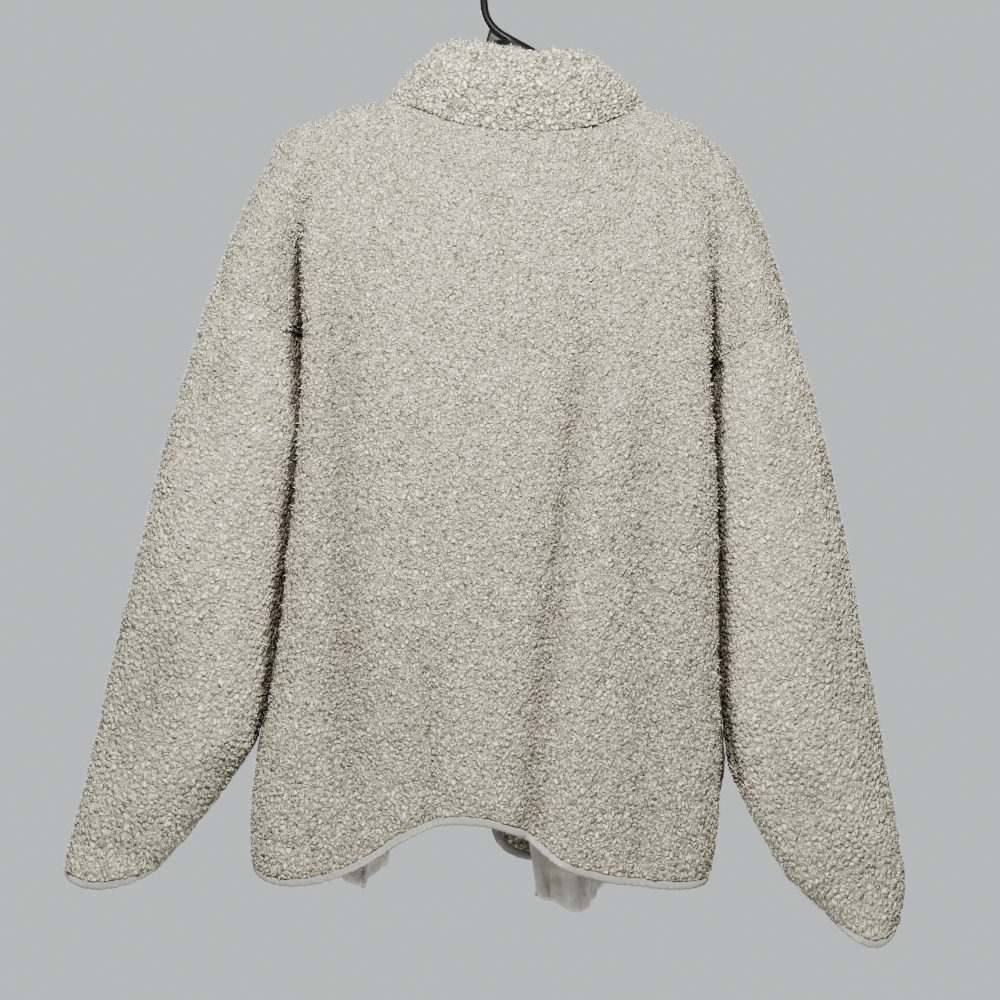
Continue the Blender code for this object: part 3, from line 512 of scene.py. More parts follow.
# Free front edges, hanging open.
FRONT_EDGE = Table("drop left right", (
    (190, -34, 46), (260, -40, 44), (400, -50, 39), (600, -64, 33), (760, -76, 29), (850, -80, 27),
))
# Collar: the seam row is shared with the body; these give the top edge, by share of the way round.
COLLAR_TOP = Table("round x drop depth", (
    (0.00, -22, 117, 62), (0.10, -49, 101, 44), (0.20, -60, 87, 18), (0.26, -61, 81, -2),
    (0.36, -44, 84, -26), (0.50, 9, 92.5, -34), (0.64, 59, 89.5, -29), (0.74, 78, 91, -6),
    (0.80, 82, 96, 16), (0.90, 64, 106, 44), (1.00, 35, 118, 62),
))

# %% [markdown]
# Folds are placed one by one. Each is a soft trough or ridge on its own slanting line, no two alike, and the
# hidden side has its own.

# %% Folds, dents and pockets
# Soft folds: (name, face, top drop, bottom drop, x at top, x at bottom, half width, depth inward).
FOLDS = (
    ("back left trough", "back", 250, 760, -138, -116, 19, 9),
    ("back left sharp bank", "back", 270, 700, -146, -126, 9, 4),
    ("back left ridge", "back", 380, 850, -78, -60, 24, -4),
    ("back low hollow", "back", 600, 900, -84, -66, 46, 5),
    ("hem crease", "back", 600, 850, -45, -31, 12, 5),
    ("back centre trough", "back", 280, 850, 84, 56, 20, 9),
    ("back centre sharp line", "back", 300, 840, 77, 52, 8, 7),
    ("back centre ridge", "back", 330, 860, 106, 90, 17, -6),
    ("back right trough", "back", 330, 840, 138, 152, 17, 7),
    ("back right soft trough", "back", 560, 860, 180, 186, 20, 3),
    ("front left trough", "front", 260, 850, -120, -126, 22, 9),
    ("front left ridge", "front", 300, 850, -84, -98, 18, -6),
    ("front right trough", "front", 260, 850, 118, 104, 24, 10),
    ("front right ridge", "front", 300, 850, 154, 150, 22, -7),
    ("front right edge roll", "front", 320, 850, 72, 60, 16, -5),
)
# Sleeve dents: (side, drop, angle round the tube from the outer side over the back, half drop, half angle, depth).
DENTS = (
    ("left", 405, 75, 60, 28, 7), ("left", 680, 70, 75, 26, 8), ("left", 822, 95, 24, 30, 6),
    ("left", 760, 150, 34, 26, 7), ("left", 560, 265, 90, 32, 8), ("left", 770, 250, 50, 34, 7),
    ("right", 440, 85, 70, 26, 7), ("right", 640, 60, 80, 24, 5), ("right", 750, 110, 40, 26, 6),
    ("right", 815, 80, 26, 34, 6), ("right", 560, 270, 90, 32, 8), ("right", 790, 250, 50, 34, 7),
)
POCKET = {"left": (-128.0, -150.0, 600.0, 735.0), "right": (126.0, 152.0, 600.0, 735.0)}
# Pocket bags inside the fronts: (x of one edge, x of the other, top drop, lowest drop).
BAG = {"left": (-74.0, -140.0, 640.0, 877.0), "right": (43.0, 153.0, 640.0, 887.0)}


# %% [markdown]
# The body below the arms is a flattened tube, above them it narrows to the shoulder line and the neck, and the
# sleeves are tubes that start at a slanted seam on the dropped shoulders.

# %% The body below the arms


ARC_SHARE = 0.035        # share of a half row in the underarm fold
CORNER_SHARE = 0.16      # share of a half row up to the end of the corner


def half_row(q, opened, corner, depth, reach):
    """Offsets from the fold or side seam: q = 0 there, q = 1 at the middle or the front edge."""
    a = np.clip(q / ARC_SHARE, 0, 1)
    c = np.clip((q - ARC_SHARE) / (CORNER_SHARE - ARC_SHARE), 0, 1) * math.pi / 2
    f = np.clip((q - CORNER_SHARE) / (1 - CORNER_SHARE), 0, 1)
    turn = a * math.pi / 2
    dx = lerp(GROOVE * np.sin(turn), GROOVE, opened)
    dy = lerp(GROOVE * (1 - np.cos(turn)), GROOVE * a, opened)
    dx = dx + corner * (1 - np.cos(c)) + f * (reach - GROOVE - corner)
    dy = dy + (depth - GROOVE) * np.sin(c)
    return dx, dy


def closing(side, drop, y):
    """How far the sleeve and the body's side each lean over, deep between them, so that no light shows there."""
    sleeve = SLEEVE[side].at("inner", drop)
    gap = SIDES[side] * (sleeve - BODY.at(side, drop))
    fade = quarter((drop - UNDERARM[side][2]) / 12.0) * ease((LEAN_END[side] - drop) / 40.0)
    return np.clip(gap / 2 - LEAN_REST, 0, LEAN_MOST) * fade * np.exp(-((y - LEAN_DEPTH) / LEAN_REACH) ** 2)


def body_low(side, face, q, drop):
    """A point of the tube below the arm."""
    sign = SIDES[side]
    ux, uy, ud = UNDERARM[side]
    opened = quarter((drop - ud) / 10.0)
    edge = BODY.at(side, drop)
    start = lerp(ux, edge + sign * GROOVE, opened)
    seam_y = lerp(uy, BODY.at("side", drop), ease((drop - ud) / 60.0))
    plane = BODY.at(face, drop)
    end = CENTRE_X if face == "back" else FRONT_EDGE.at(side, drop)
    corner = BODY.at("corner", drop)
    dx, dy = half_row(q, opened, corner, np.abs(plane - seam_y), np.abs(end - start))
    x = start - sign * dx
    way = WAY[face]
    y = seam_y + way * dy
    body = np.sin(np.clip((q - ARC_SHARE) / (CORNER_SHARE - ARC_SHARE), 0, 1) * math.pi / 2)
    y = y + way * 3.0 * body * np.clip((q - CORNER_SHARE) / (1 - CORNER_SHARE), 0, 1) ** 0.8
    y = y - way * body * fold_depth(face, x, drop)
    x = x + sign * closing(side, drop, y)
    return np.stack([x, y, -drop + 0 * x], axis=-1)


def hem_drop(side, face, q):
    if face == "back":
        x = body_low(side, "back", q, np.full(np.shape(q), 835.0))[..., 0]
        return HEM_BACK.at("drop", x)
    seam = HEM_BACK.at("drop", body_low(side, "back", 0 * q, 835.0 + 0 * q)[..., 0])
    level = lerp(seam, HEM_FRONT[side], ease(q / 0.4))
    t = np.clip((q - 0.80) / 0.20, 0, 1)
    return level - FRONT_CORNER * (1 - np.sqrt(np.maximum(0, 1 - t ** 2)))


def low_point(side, face, q, v):
    ud = UNDERARM[side][2]
    middle = 0.5 * (UNDERARM["left"][2] + UNDERARM["right"][2])
    start = lerp(ud, middle, ease(q)) if face == "back" else ud + 0 * q
    return body_low(side, face, q, lerp(start, hem_drop(side, face, q), v))


# %% [markdown]
# Above the arms each face starts at the shoulder line and the neck seam. It is drawn freely first, and then
# eased so that its last row lands exactly on the tube below.

# %% The body above the arms
NECK_SHARE = 0.42        # share of a half row that lies under the shoulder line


def top_point(side, face, q):
    """Shoulder line, then the neck seam: the row that back, front and collar share."""
    fold_x = FOLD[side][0][1]
    neck_x = NECK_POINT[side]
    along = np.clip(q / NECK_SHARE, 0, 1)
    round_neck = np.clip((q - NECK_SHARE) / (1 - NECK_SHARE), 0, 1)
    x = lerp(fold_x, neck_x, along)
    if face == "back":
        x = np.where(q > NECK_SHARE, lerp(neck_x, CENTRE_X, round_neck), x)
        drop = TOP.at("drop", x)
        y = TOP.at("depth", x)
    else:
        drop = TOP.at("drop", x)
        y = TOP.at("depth", x)
        neck = FRONT_NECK[side]
        on = q > NECK_SHARE
        drop = np.where(on, neck.at("drop", round_neck), drop)
        y = np.where(on, neck.at("depth", round_neck), y)
        x = np.where(on, neck.at("x", round_neck), x)
    return x, y, drop


def up_raw(side, face, q, v):
    sign = SIDES[side]
    way = WAY[face]
    tx, ty, td = top_point(side, face, q)
    base = low_point(side, face, q, 0 * v)
    drop = lerp(td, -base[..., 2], v)
    fold = FOLD[side]
    fold_drop = lerp(fold[0][0], fold[-1][0], v)
    kx = fold.at("x", fold_drop)
    ky = fold.at(face, fold_drop)
    end = lerp(CENTRE_X if face == "back" else FRONT_NECK[side][-1][1], base[..., 0] * 0 + (
        CENTRE_X if face == "back" else FRONT_EDGE.at(side, drop)), v)
    corner = lerp(20.0, BODY.at("corner", UNDERARM[side][2]), ease(v * 2))
    dx, _ = half_row(q, 0 * v, corner, 40.0 + 0 * v, np.abs(end - kx))
    x = lerp(tx, kx - sign * dx, ease(v * 1.6) if face == "back" else ease(v * 1.3))
    fall = drop - td
    plane = BODY.at(face, UNDERARM[side][2]) + way * 3.0
    over = way * SHOULDER_ROUND * quarter(fall / SHOULDER_ROUND)
    over = over + (plane - way * SHOULDER_ROUND) * np.sin(v * math.pi / 2)
    neck = lerp(ty, plane, np.sin(v * math.pi / 2))
    share = ease((q - NECK_SHARE + 0.05) / 0.14)
    plane_y = lerp(over + ty * (1 - v), neck, share)
    _, deep = half_row(q, 0 * v, corner, 40.0 + 0 * v, 200.0 + 0 * v)
    y = lerp(ky, plane_y, deep / 40.0)
    y = y - way * (deep / 40.0) * fold_depth(face, x, drop)
    return np.stack([x, y, -drop], axis=-1)


def up_point(side, face, q, v):
    """Above the arms, closing exactly onto the tube below at v = 1."""
    ends = low_point(side, face, q, 0 * v) - up_raw(side, face, q, 0 * v + 1)
    return up_raw(side, face, q, v) + ends * (v ** 3)[..., None]


# %% [markdown]
# A sleeve is a tube round a slanted line, with a few dents. The dropped shoulder over it is a cap that lands on
# the sleeve's first row in the same way.

# %% Sleeves and dropped shoulders


def dent(side, drop, angle):
    total = np.zeros(np.broadcast(drop, angle).shape)
    degrees = np.degrees(angle)
    for on, at, where, tall, wide, deep in DENTS:
        if on == side:
            total = total + deep * np.exp(-((drop - at) / tall) ** 2 - ((degrees - where) / wide) ** 2)
    return total


def sleeve_section(side, angle, drop):
    """Angle 0 at the outer side, 90 degrees at the back, 180 at the inner side, 270 at the front."""
    table = SLEEVE[side]
    ux, _, ud = UNDERARM[side]
    outer = table.at("outer", drop)
    inner = lerp(ux, table.at("inner", drop), quarter((drop - ud) / 10.0))
    middle = table.at("middle", drop)
    half = table.at("half", drop)
    squeeze = 1 - dent(side, drop, angle) / 60.0
    x = 0.5 * (outer + inner) + 0.5 * (outer - inner) * np.cos(angle) * lerp(1, squeeze, 0.3)
    s = np.sin(angle)
    y = middle - half * np.sign(s) * np.abs(s) ** 0.86 * squeeze
    x = x - SIDES[side] * closing(side, drop, y) * np.clip(-np.cos(angle), 0, 1)
    return np.stack([x, y, -drop + 0 * x], axis=-1)


def seam_drop(side, angle):
    top = CAP[side][-1][0]
    return lerp(top, UNDERARM[side][2], (1 - np.cos(angle)) / 2)


def sleeve_point(side, angle, t):
    outer, back, inner = CUFF_DROP[side]
    c = np.cos(angle)
    end = lerp(inner, outer, (1 + c) / 2) + (back - 0.5 * (outer + inner)) * np.abs(np.sin(angle)) ** 2
    return sleeve_section(side, angle, lerp(seam_drop(side, angle), end, t))


def cap_raw(side, face, c, v):
    way = WAY[face]
    angle = math.pi * (1 - c)
    fold = FOLD[side]
    cap = CAP[side]
    fold_drop = lerp(fold[0][0], fold[-1][0], v)
    cap_drop = lerp(cap[0][0], cap[-1][0], v)
    kx = fold.at("x", fold_drop)
    ky = fold.at(face, fold_drop)
    ox = cap.at("x", cap_drop)
    oy = cap.at("depth", cap_drop)
    share = (1 + np.cos(angle)) / 2
    drop = lerp(fold_drop, cap_drop, share)
    fall = v * 150.0
    bulge = SHOULDER_ROUND * quarter(fall / SHOULDER_ROUND)
    bulge = bulge + (SLEEVE[side][0][4] - SHOULDER_ROUND) * np.sin(v * math.pi / 2) ** 1.3
    x = 0.5 * (kx + ox) + 0.5 * (ox - kx) * np.cos(angle)
    bulge = bulge - 0.5 * np.abs(ky - oy)
    y = lerp(ky, oy, share) + way * bulge * np.sin(angle) ** 0.86
    return np.stack([x, y, -drop + 0 * x], axis=-1)


def cap_point(side, face, c, v):
    angle = math.pi * (1 - c)
    if face == "front":
        angle = 2 * math.pi - angle
    ends = sleeve_point(side, angle, 0 * v) - cap_raw(side, face, c, 0 * v + 1)
    return cap_raw(side, face, c, v) + ends * (v ** 3)[..., None]

# %% [markdown]
# Every piece is a function of two numbers: how far along the row, and how far down. Sampled finely, the function
# gives a grid of points, and from that grid three things are kept: where each point hangs, which way the cloth
# faces there, and where the same point lies once the cloth is flat.
# Laying flat is done by lengths: a row keeps its length, and so does a column, which is what cloth does.

# %% One cut piece: hanging and flat


class Cloth:
    """Samples of one cut piece, millimetres in the hanger's own frame; rows run down, columns run across."""

    def __init__(self, grid, middle, level=False):
        self.place = grid
        self.aim = self.facing(grid)
        across = np.nan_to_num(np.linalg.norm(np.diff(grid, axis=1), axis=2))
        across = np.concatenate([np.zeros((len(grid), 1)), np.cumsum(across, axis=1)], axis=1)
        across = across - across[:, middle:middle + 1]
        drop = np.linalg.norm(np.diff(grid, axis=0), axis=2)
        slant = np.diff(across, axis=0)
        down = np.sqrt(np.maximum(drop ** 2 - slant ** 2, (0.3 * drop) ** 2))
        down = np.concatenate([np.zeros((1, grid.shape[1])), np.cumsum(np.nan_to_num(down), axis=0)], axis=0)
        if level:
            down = np.broadcast_to(np.r_[0, np.cumsum(np.mean(drop, axis=1))][:, None], across.shape)
        self.flat = np.stack([across, down], axis=-1)
        self.flat[np.isnan(grid[..., 0])] = np.nan

    @staticmethod
    def facing(grid):
        """The way out of the cloth at every sample, from the diagonals of the meshes round it."""
        quad = np.nan_to_num(np.cross(grid[1:, 1:] - grid[:-1, :-1], grid[:-1, 1:] - grid[1:, :-1]))
        total = np.zeros(grid.shape)
        for rows in (slice(None, -1), slice(1, None)):
            for cols in (slice(None, -1), slice(1, None)):
                total[rows, cols] += quad
        return total / np.maximum(np.linalg.norm(total, axis=2, keepdims=True), 1e-9)

    def at(self, what, c, r):
        """Any of the sampled fields at column c and row r, which may lie between samples."""
        rows, cols = what.shape[:2]
        c = np.clip(c, 0, cols - 1.0)
        r = np.clip(r, 0, rows - 1.0)
        c0 = np.minimum(c.astype(int), cols - 2)
        r0 = np.minimum(r.astype(int), rows - 2)
        total = 0
        for dr in (0, 1):
            for dc in (0, 1):
                share = (1 - np.abs(r - r0 - dr)) * (1 - np.abs(c - c0 - dc))
                total = total + np.nan_to_num(what[r0 + dr, c0 + dc]) * share[..., None]
        return total

    def walk(self, stops, step, jitter=None):
        """Columns and rows about every step along a line through the stops, which are (column, row)."""
        line = np.array(stops, float)
        pieces = []
        for (c0, r0), (c1, r1) in zip(line[:-1], line[1:]):
            t = np.linspace(0, 1, int(max(abs(c1 - c0), abs(r1 - r0), 1)) + 1)
            c, r = lerp(c0, c1, t), lerp(r0, r1, t)
            length = np.linalg.norm(np.diff(self.at(self.place, c, r), axis=0), axis=1)
            length = np.r_[0, np.cumsum(length)]
            count = max(int(round(length[-1] / step)), 1)
            wanted = np.linspace(0, length[-1], count + 1)
            if jitter is not None and count > 1:
                wanted[1:-1] += jitter.uniform(-0.3, 0.3, count - 1) * step
            pieces.append(np.stack([np.interp(wanted, length, c), np.interp(wanted, length, r)], axis=1)[:-1])
        return np.concatenate(pieces + [line[-1:]])


def sampled(surface, across, down):
    """A surface function over a grid: rows run down."""
    u, v = np.meshgrid(across, down)
    return surface(u, v)


# %% [markdown]
# Steps are closer where the cloth turns sharply: at the shoulder line, in the fold under each arm, and at the
# rounded corner of each front. A back or front panel is wide above the arms, where it ends in a dropped
# shoulder, and narrow below them, so its lower corners hold no samples.

# %% Sampling the panels, sleeves and collar
HALF_BACK = np.r_[np.linspace(0, 0.20, 40, endpoint=False), np.linspace(0.20, 1, 90)]
HALF_FRONT = np.r_[np.linspace(0, 0.20, 40, endpoint=False),
                   0.20 + 0.80 * np.sin(np.linspace(0, 1, 90) * math.pi / 2)]
UPPER = np.r_[np.linspace(0, 0.12, 20, endpoint=False), np.linspace(0.12, 1, 60)]
LOWER = np.r_[np.linspace(0, 0.05, 10, endpoint=False), np.linspace(0.05, 1, 150)][1:]
SHOULDER_STEPS = np.linspace(1, 0, 50)
LAST_UPPER = len(UPPER) - 1
SHOULDER_COLUMNS = len(SHOULDER_STEPS) - 1


def half_panel(side, face, half):
    """One side of a panel, from the dropped shoulder to the middle: above the arm, then below it."""
    shoulder = sampled(lambda c, v: cap_point(side, face, c, v), SHOULDER_STEPS, UPPER)
    above = sampled(lambda q, v: up_point(side, face, q, v), half, UPPER)
    below = sampled(lambda q, v: low_point(side, face, q, v), half, LOWER)
    blank = np.full((len(LOWER), SHOULDER_COLUMNS, 3), np.nan)
    return np.concatenate([np.concatenate([shoulder[:, :-1], above], axis=1),
                           np.concatenate([blank, below], axis=1)], axis=0)


left_half = half_panel("left", "back", HALF_BACK)
right_half = half_panel("right", "back", HALF_BACK)
CLOTH = {"back": Cloth(np.concatenate([left_half, right_half[:, ::-1][:, 1:]], axis=1), left_half.shape[1] - 1)}
CLOTH["front_left"] = Cloth(half_panel("left", "front", HALF_FRONT)[:, ::-1], 60)
CLOTH["front_right"] = Cloth(half_panel("right", "front", HALF_FRONT), SHOULDER_COLUMNS + 70)

SLEEVE_TURN = np.linspace(0, 1, 200)
SLEEVE_DOWN = np.r_[np.linspace(0, 0.06, 12, endpoint=False), np.linspace(0.06, 1, 150)]
for side in SIDES:
    # The tube is slit along its inner side, where its own seam is, and the slit starts and ends the row.
    turn = SLEEVE_TURN if side == "left" else -SLEEVE_TURN
    angle = (math.pi + 2 * math.pi * turn) % (2 * math.pi)
    tube = sampled(lambda a, t: sleeve_point(side, a, t), angle, SLEEVE_DOWN)
    CLOTH["sleeve_" + side] = Cloth(tube, 100)

# %% [markdown]
# The collar stands on the neck seam. Its cloth starts at the seam on the inside, goes up, turns over the top
# edge and comes down to the seam again, so its flat cut is twice as tall as the collar looks.

# %% The collar, doubled over its top
COLLAR_HALF = 2.4         # from the collar's middle to either layer


def collar_cloth():
    neck = np.linspace(NECK_SHARE, 1, 60)
    ring = []
    for side, face, q in (("left", "front", neck[::-1]), ("left", "back", neck[1:]),
                          ("right", "back", neck[:-1][::-1]), ("right", "front", neck[1:])):
        ring.append(np.stack(top_point(side, face, q), axis=-1))
    seam = np.concatenate(ring) * (1, 1, -1)
    length = np.r_[0, np.cumsum(np.linalg.norm(np.diff(seam, axis=0), axis=1))]
    share = length / length[-1]
    top = np.stack([COLLAR_TOP.at("x", share),
                    COLLAR_TOP.at("depth", share),
                    -COLLAR_TOP.at("drop", share)], axis=-1)
    out_way = (seam - (CENTRE_X, 8.0, 0.0)) * (1, 1, 0)
    out_way /= np.linalg.norm(out_way, axis=1)[:, None]
    rise = np.linspace(-0.01, 1, 40)
    bow = 9.0 * np.sin(rise * math.pi)[:, None, None] * (0.6 + 0.4 * np.abs(out_way[:, :1]))
    stand = lerp(seam, top, rise[:, None, None]) + out_way * bow
    up = np.gradient(stand, axis=0)
    up /= np.linalg.norm(up, axis=2)[..., None]
    out = np.cross(np.gradient(stand, axis=1), up)
    out /= np.linalg.norm(out, axis=2)[..., None]
    # The two layers meet at the free ends of the collar, where they are stitched together.
    end = np.minimum(length, length[-1] - length)
    half = (COLLAR_HALF * quarter(end / 9.0))[None, :, None]
    turn = np.linspace(0, math.pi, 14)[1:-1, None, None]
    inner, outer = stand - out * half, (stand + out * half)[::-1]
    over = stand[-1] + half * (up[-1] * np.sin(turn) - out[-1] * np.cos(turn))
    return np.concatenate([inner, over, outer])


CLOTH["collar"] = Cloth(collar_cloth(), 118, level=True)
for name, cloth in CLOTH.items():
    print(name, cloth.place.shape[:2], "lies", np.round(np.ptp(np.nan_to_num(cloth.flat), axis=(0, 1))), "mm")

# %% [markdown]
# Sherpa's curls could be a bump in the material, but on a coat this thick they break the outline and throw
# shadows, so they are modelled. A regular grid would look like knitting. Instead, points are scattered over the
# flat piece, a little unevenly and with some left out, and joined into triangles. The **dual** of those
# triangles, which has one face for each point, gives cells like dried mud: each cell becomes one curl.

# %% Scattering points over a flat piece


def scattered(cloth, across, down, rng, left_out=0.10):
    """Columns and rows of points in lines, each nudged at random."""
    flat_x, flat_y = cloth.flat[..., 0], cloth.flat[..., 1]
    rows = np.arange(len(flat_x))
    levels = np.arange(down * 0.5, np.nanmax(flat_y), down)
    row_at = np.full((len(levels), flat_x.shape[1]), np.nan)
    x_at = row_at.copy()
    for j in range(flat_x.shape[1]):
        known = ~np.isnan(flat_y[:, j])
        row_at[:, j] = np.interp(levels, flat_y[known, j], rows[known], left=np.nan, right=np.nan)
        x_at[:, j] = np.interp(row_at[:, j], rows[known], flat_x[known, j])
    found = []
    for k, level in enumerate(levels):
        known = np.flatnonzero(~np.isnan(row_at[k]))
        for run in np.split(known, np.flatnonzero(np.diff(known) > 1) + 1):
            if len(run) < 2:
                continue
            x = np.maximum.accumulate(x_at[k, run])
            wanted = np.arange(x[0] + across * (0.25 + 0.5 * (k % 2)), x[-1], across)
            wanted = wanted + rng.uniform(-0.46, 0.46, len(wanted)) * across
            wanted = wanted[rng.random(len(wanted)) > left_out]
            r = np.interp(wanted, x, row_at[k, run])
            c = np.interp(wanted, x, run)
            step = np.interp(r, rows[1:], np.nanmedian(np.diff(flat_y, axis=0), axis=1))
            found.append(np.stack([c, r + rng.uniform(-0.46, 0.46, len(r)) * down / step], axis=1))
    return np.concatenate(found)


def near(points, others, reach):
    """Which of the points lie closer than reach to any of the others."""
    tree = KDTree(len(others))
    for i, p in enumerate(others):
        tree.insert((p[0], p[1], 0), i)
    tree.balance()
    return np.array([tree.find((p[0], p[1], 0))[2] < reach for p in points])


# %% [markdown]
# Geometry Nodes has the dual as one node, so a two-node group does it. The triangles are laid out by their
# column and row, so each corner of a cell comes back as a column and a row, and hangs wherever the cloth does.

# %% From points to cells
DUAL = bpy.data.node_groups.new("cells_round_points", "GeometryNodeTree")
DUAL.interface.new_socket("Geometry", in_out="INPUT", socket_type="NodeSocketGeometry")
DUAL.interface.new_socket("Geometry", in_out="OUTPUT", socket_type="NodeSocketGeometry")
group_in, dual, group_out = (DUAL.nodes.new(kind) for kind in (
    "NodeGroupInput", "GeometryNodeDualMesh", "NodeGroupOutput"))
dual.inputs["Keep Boundaries"].default_value = True
DUAL.links.new(group_in.outputs[0], dual.inputs[0])
DUAL.links.new(dual.outputs[0], group_out.inputs[0])


def evaluated(mesh, modifiers):
    """The mesh after the modifiers that a function adds to an object that holds it."""
    holder = bpy.data.objects.new("holder", mesh)
    bpy.context.scene.collection.objects.link(holder)
    modifiers(holder)
    made = bpy.data.meshes.new_from_object(holder.evaluated_get(bpy.context.evaluated_depsgraph_get()))
    bpy.data.objects.remove(holder)
    return made


def within(points, ring):
    """Which points lie inside the ring: a line to the right crosses it an odd number of times."""
    odd = np.zeros(len(points), bool)
    for (x0, y0), (x1, y1) in zip(ring, np.roll(ring, -1, axis=0)):
        if y0 != y1:
            reach = x0 + (points[:, 1] - y0) * (x1 - x0) / (y1 - y0)
            odd ^= ((y0 > points[:, 1]) != (y1 > points[:, 1])) & (points[:, 0] < reach)
    return odd


def cells(cloth, edge, across, down, seed, left_out=0.10):
    """A mesh of cells over one cut piece, its corners at (column, -row)."""
    rng = np.random.default_rng(seed)
    rim = cloth.walk(edge + edge[:1], across * 0.92, rng)[:-1]
    inner = scattered(cloth, across, down, rng, left_out)
    rim_flat = cloth.at(cloth.flat, rim[:, 0], rim[:, 1])
    flat = cloth.at(cloth.flat, inner[:, 0], inner[:, 1])
    keep = ~near(flat, rim_flat, across * 0.62)
    spots = np.concatenate([rim, inner[keep]])
    flat = np.concatenate([rim_flat, flat[keep]]) * (1, -1)
    ring = [(i, (i + 1) % len(rim)) for i in range(len(rim))]
    corners, _, faces, origin, _, _ = delaunay_2d_cdt([Vector(p) for p in flat], ring, [], 1, 1e-5, True)
    middles = np.array([[sum(corners[i][k] for i in f) / 3 for k in (0, 1)] for f in faces])
    faces = [f for f, good in zip(faces, within(middles, flat[:len(rim)])) if good]
    mesh = bpy.data.meshes.new("triangles")
    mesh.from_pydata([(spots[o[0]][0], -spots[o[0]][1], 0) for o in origin], [], faces)

    def add_dual(holder):
        holder.modifiers.new("cells", "NODES").node_group = DUAL

    return evaluated(mesh, add_dual)


# %% [markdown]
# Each cell becomes a curl in three moves. The sheet of cells gets a back and a rim, which makes it a closed
# shell with the cloth's thickness. Each outer face is then extruded on its own, which gives it four or more
# walls, and last its top is drawn together and pushed out by its own random height. What is left between two
# tops is the crack, and the attribute "crack" is 1 down there and 0 on top: the material paints shade by it.

# %% Swelling, slits and folds


def swell(flat, waves, rng):
    """Slow uneven swelling of the pile: a few crossed waves, in millimetres."""
    total = np.zeros(len(flat))
    for length, high in waves:
        for _ in range(4):
            way = rng.uniform(0, 2 * math.pi)
            phase = rng.uniform(0, 2 * math.pi)
            size = length * rng.uniform(0.7, 1.4)
            along = flat[:, 0] * math.cos(way) + flat[:, 1] * math.sin(way)
            total += high * np.sin(along * 2 * math.pi / size + phase)
    return total * 0.5


def slit(place, aim):
    """How deep a point lies between a sleeve and the body, 0 to 1: where the material paints the slit's near-black
    shade.
    """
    side = np.where(place[:, 0] < 0, "left", "right")
    drop = -place[:, 2]
    total = np.zeros(len(place))
    for each in SIDES:
        back, front = (BODY.at(face, drop) for face in ("back", "front"))
        deep = ease((np.minimum(place[:, 1] - back, front - place[:, 1]) - 15.0) / 18.0)
        turned = ease((np.abs(aim[:, 0]) - lerp(0.35, 0.86, ease((drop - 330) / 110))) / 0.12)
        facing = np.abs(place[:, 0] - 0.5 * (BODY.at(each, drop)
                                             + SLEEVE[each].at("inner", drop))) < 26
        held = ease((drop - (255 if each == "left" else 268)) / 45) * ease((LEAN_END[each] - drop) / 30)
        total = total + (side == each) * facing * deep * turned * held
    return total


def hollowness(name, place, aim):
    """How far a point lies down in a fold, 0 to 1, and in the slit beside a sleeve, 1 to 2: the material paints shade
    there, near-black in the slits.
    """
    return fold_hollow(name, place) + slit(place, aim) * (not name.startswith("collar")) * 2.0


def fold_hollow(name, place):
    # Depth in a fold or in a sleeve's dent, which sets the painted shade there.
    if name.startswith("sleeve"):
        side = "left" if "left" in name else "right"
        drop = -place[:, 2]
        outer, inner = (SLEEVE[side].at(n, drop) for n in ("outer", "inner"))
        across = np.clip((place[:, 0] - 0.5 * (outer + inner)) / (0.5 * (outer - inner)), -1, 1)
        angle = np.where(place[:, 1] < 10, np.arccos(across), 2 * math.pi - np.arccos(across))
        return np.clip(dent(side, drop, angle) / 8.0, 0, 1)
    if name.startswith("collar"):
        return np.zeros(len(place))
    face = "back" if name.startswith("back") else "front"
    # Painted shade also lies where the back's cloth turns deep into the side, between drops of about 200 and 490 mm.
    lap = np.clip((place[:, 1] + 30) / 24, 0, 1) * ease((490 + place[:, 2]) / 90) * ease((-200 - place[:, 2]) / 60)
    return np.clip(fold_depth(face, place[:, 0], -place[:, 2]) / 11.0 + lap * (face == "back"), 0, 1)


# %% [markdown]
# The shell is built in one go: curls on one side, a plain skin on the other, and a rim round the cut edge. The
# attribute "hollow" runs from 0 to 1 in the folds and on to 2 in the slits beside the sleeves, and the
# material paints shade by it.

# %% A closed shell of cells
OUTER_BASE = 1.0         # the bottom of the cracks, from the middle of the cloth
INNER_SKIN = -2.0
RIM_STRIP = 0.03         # share of the texture kept for the rim


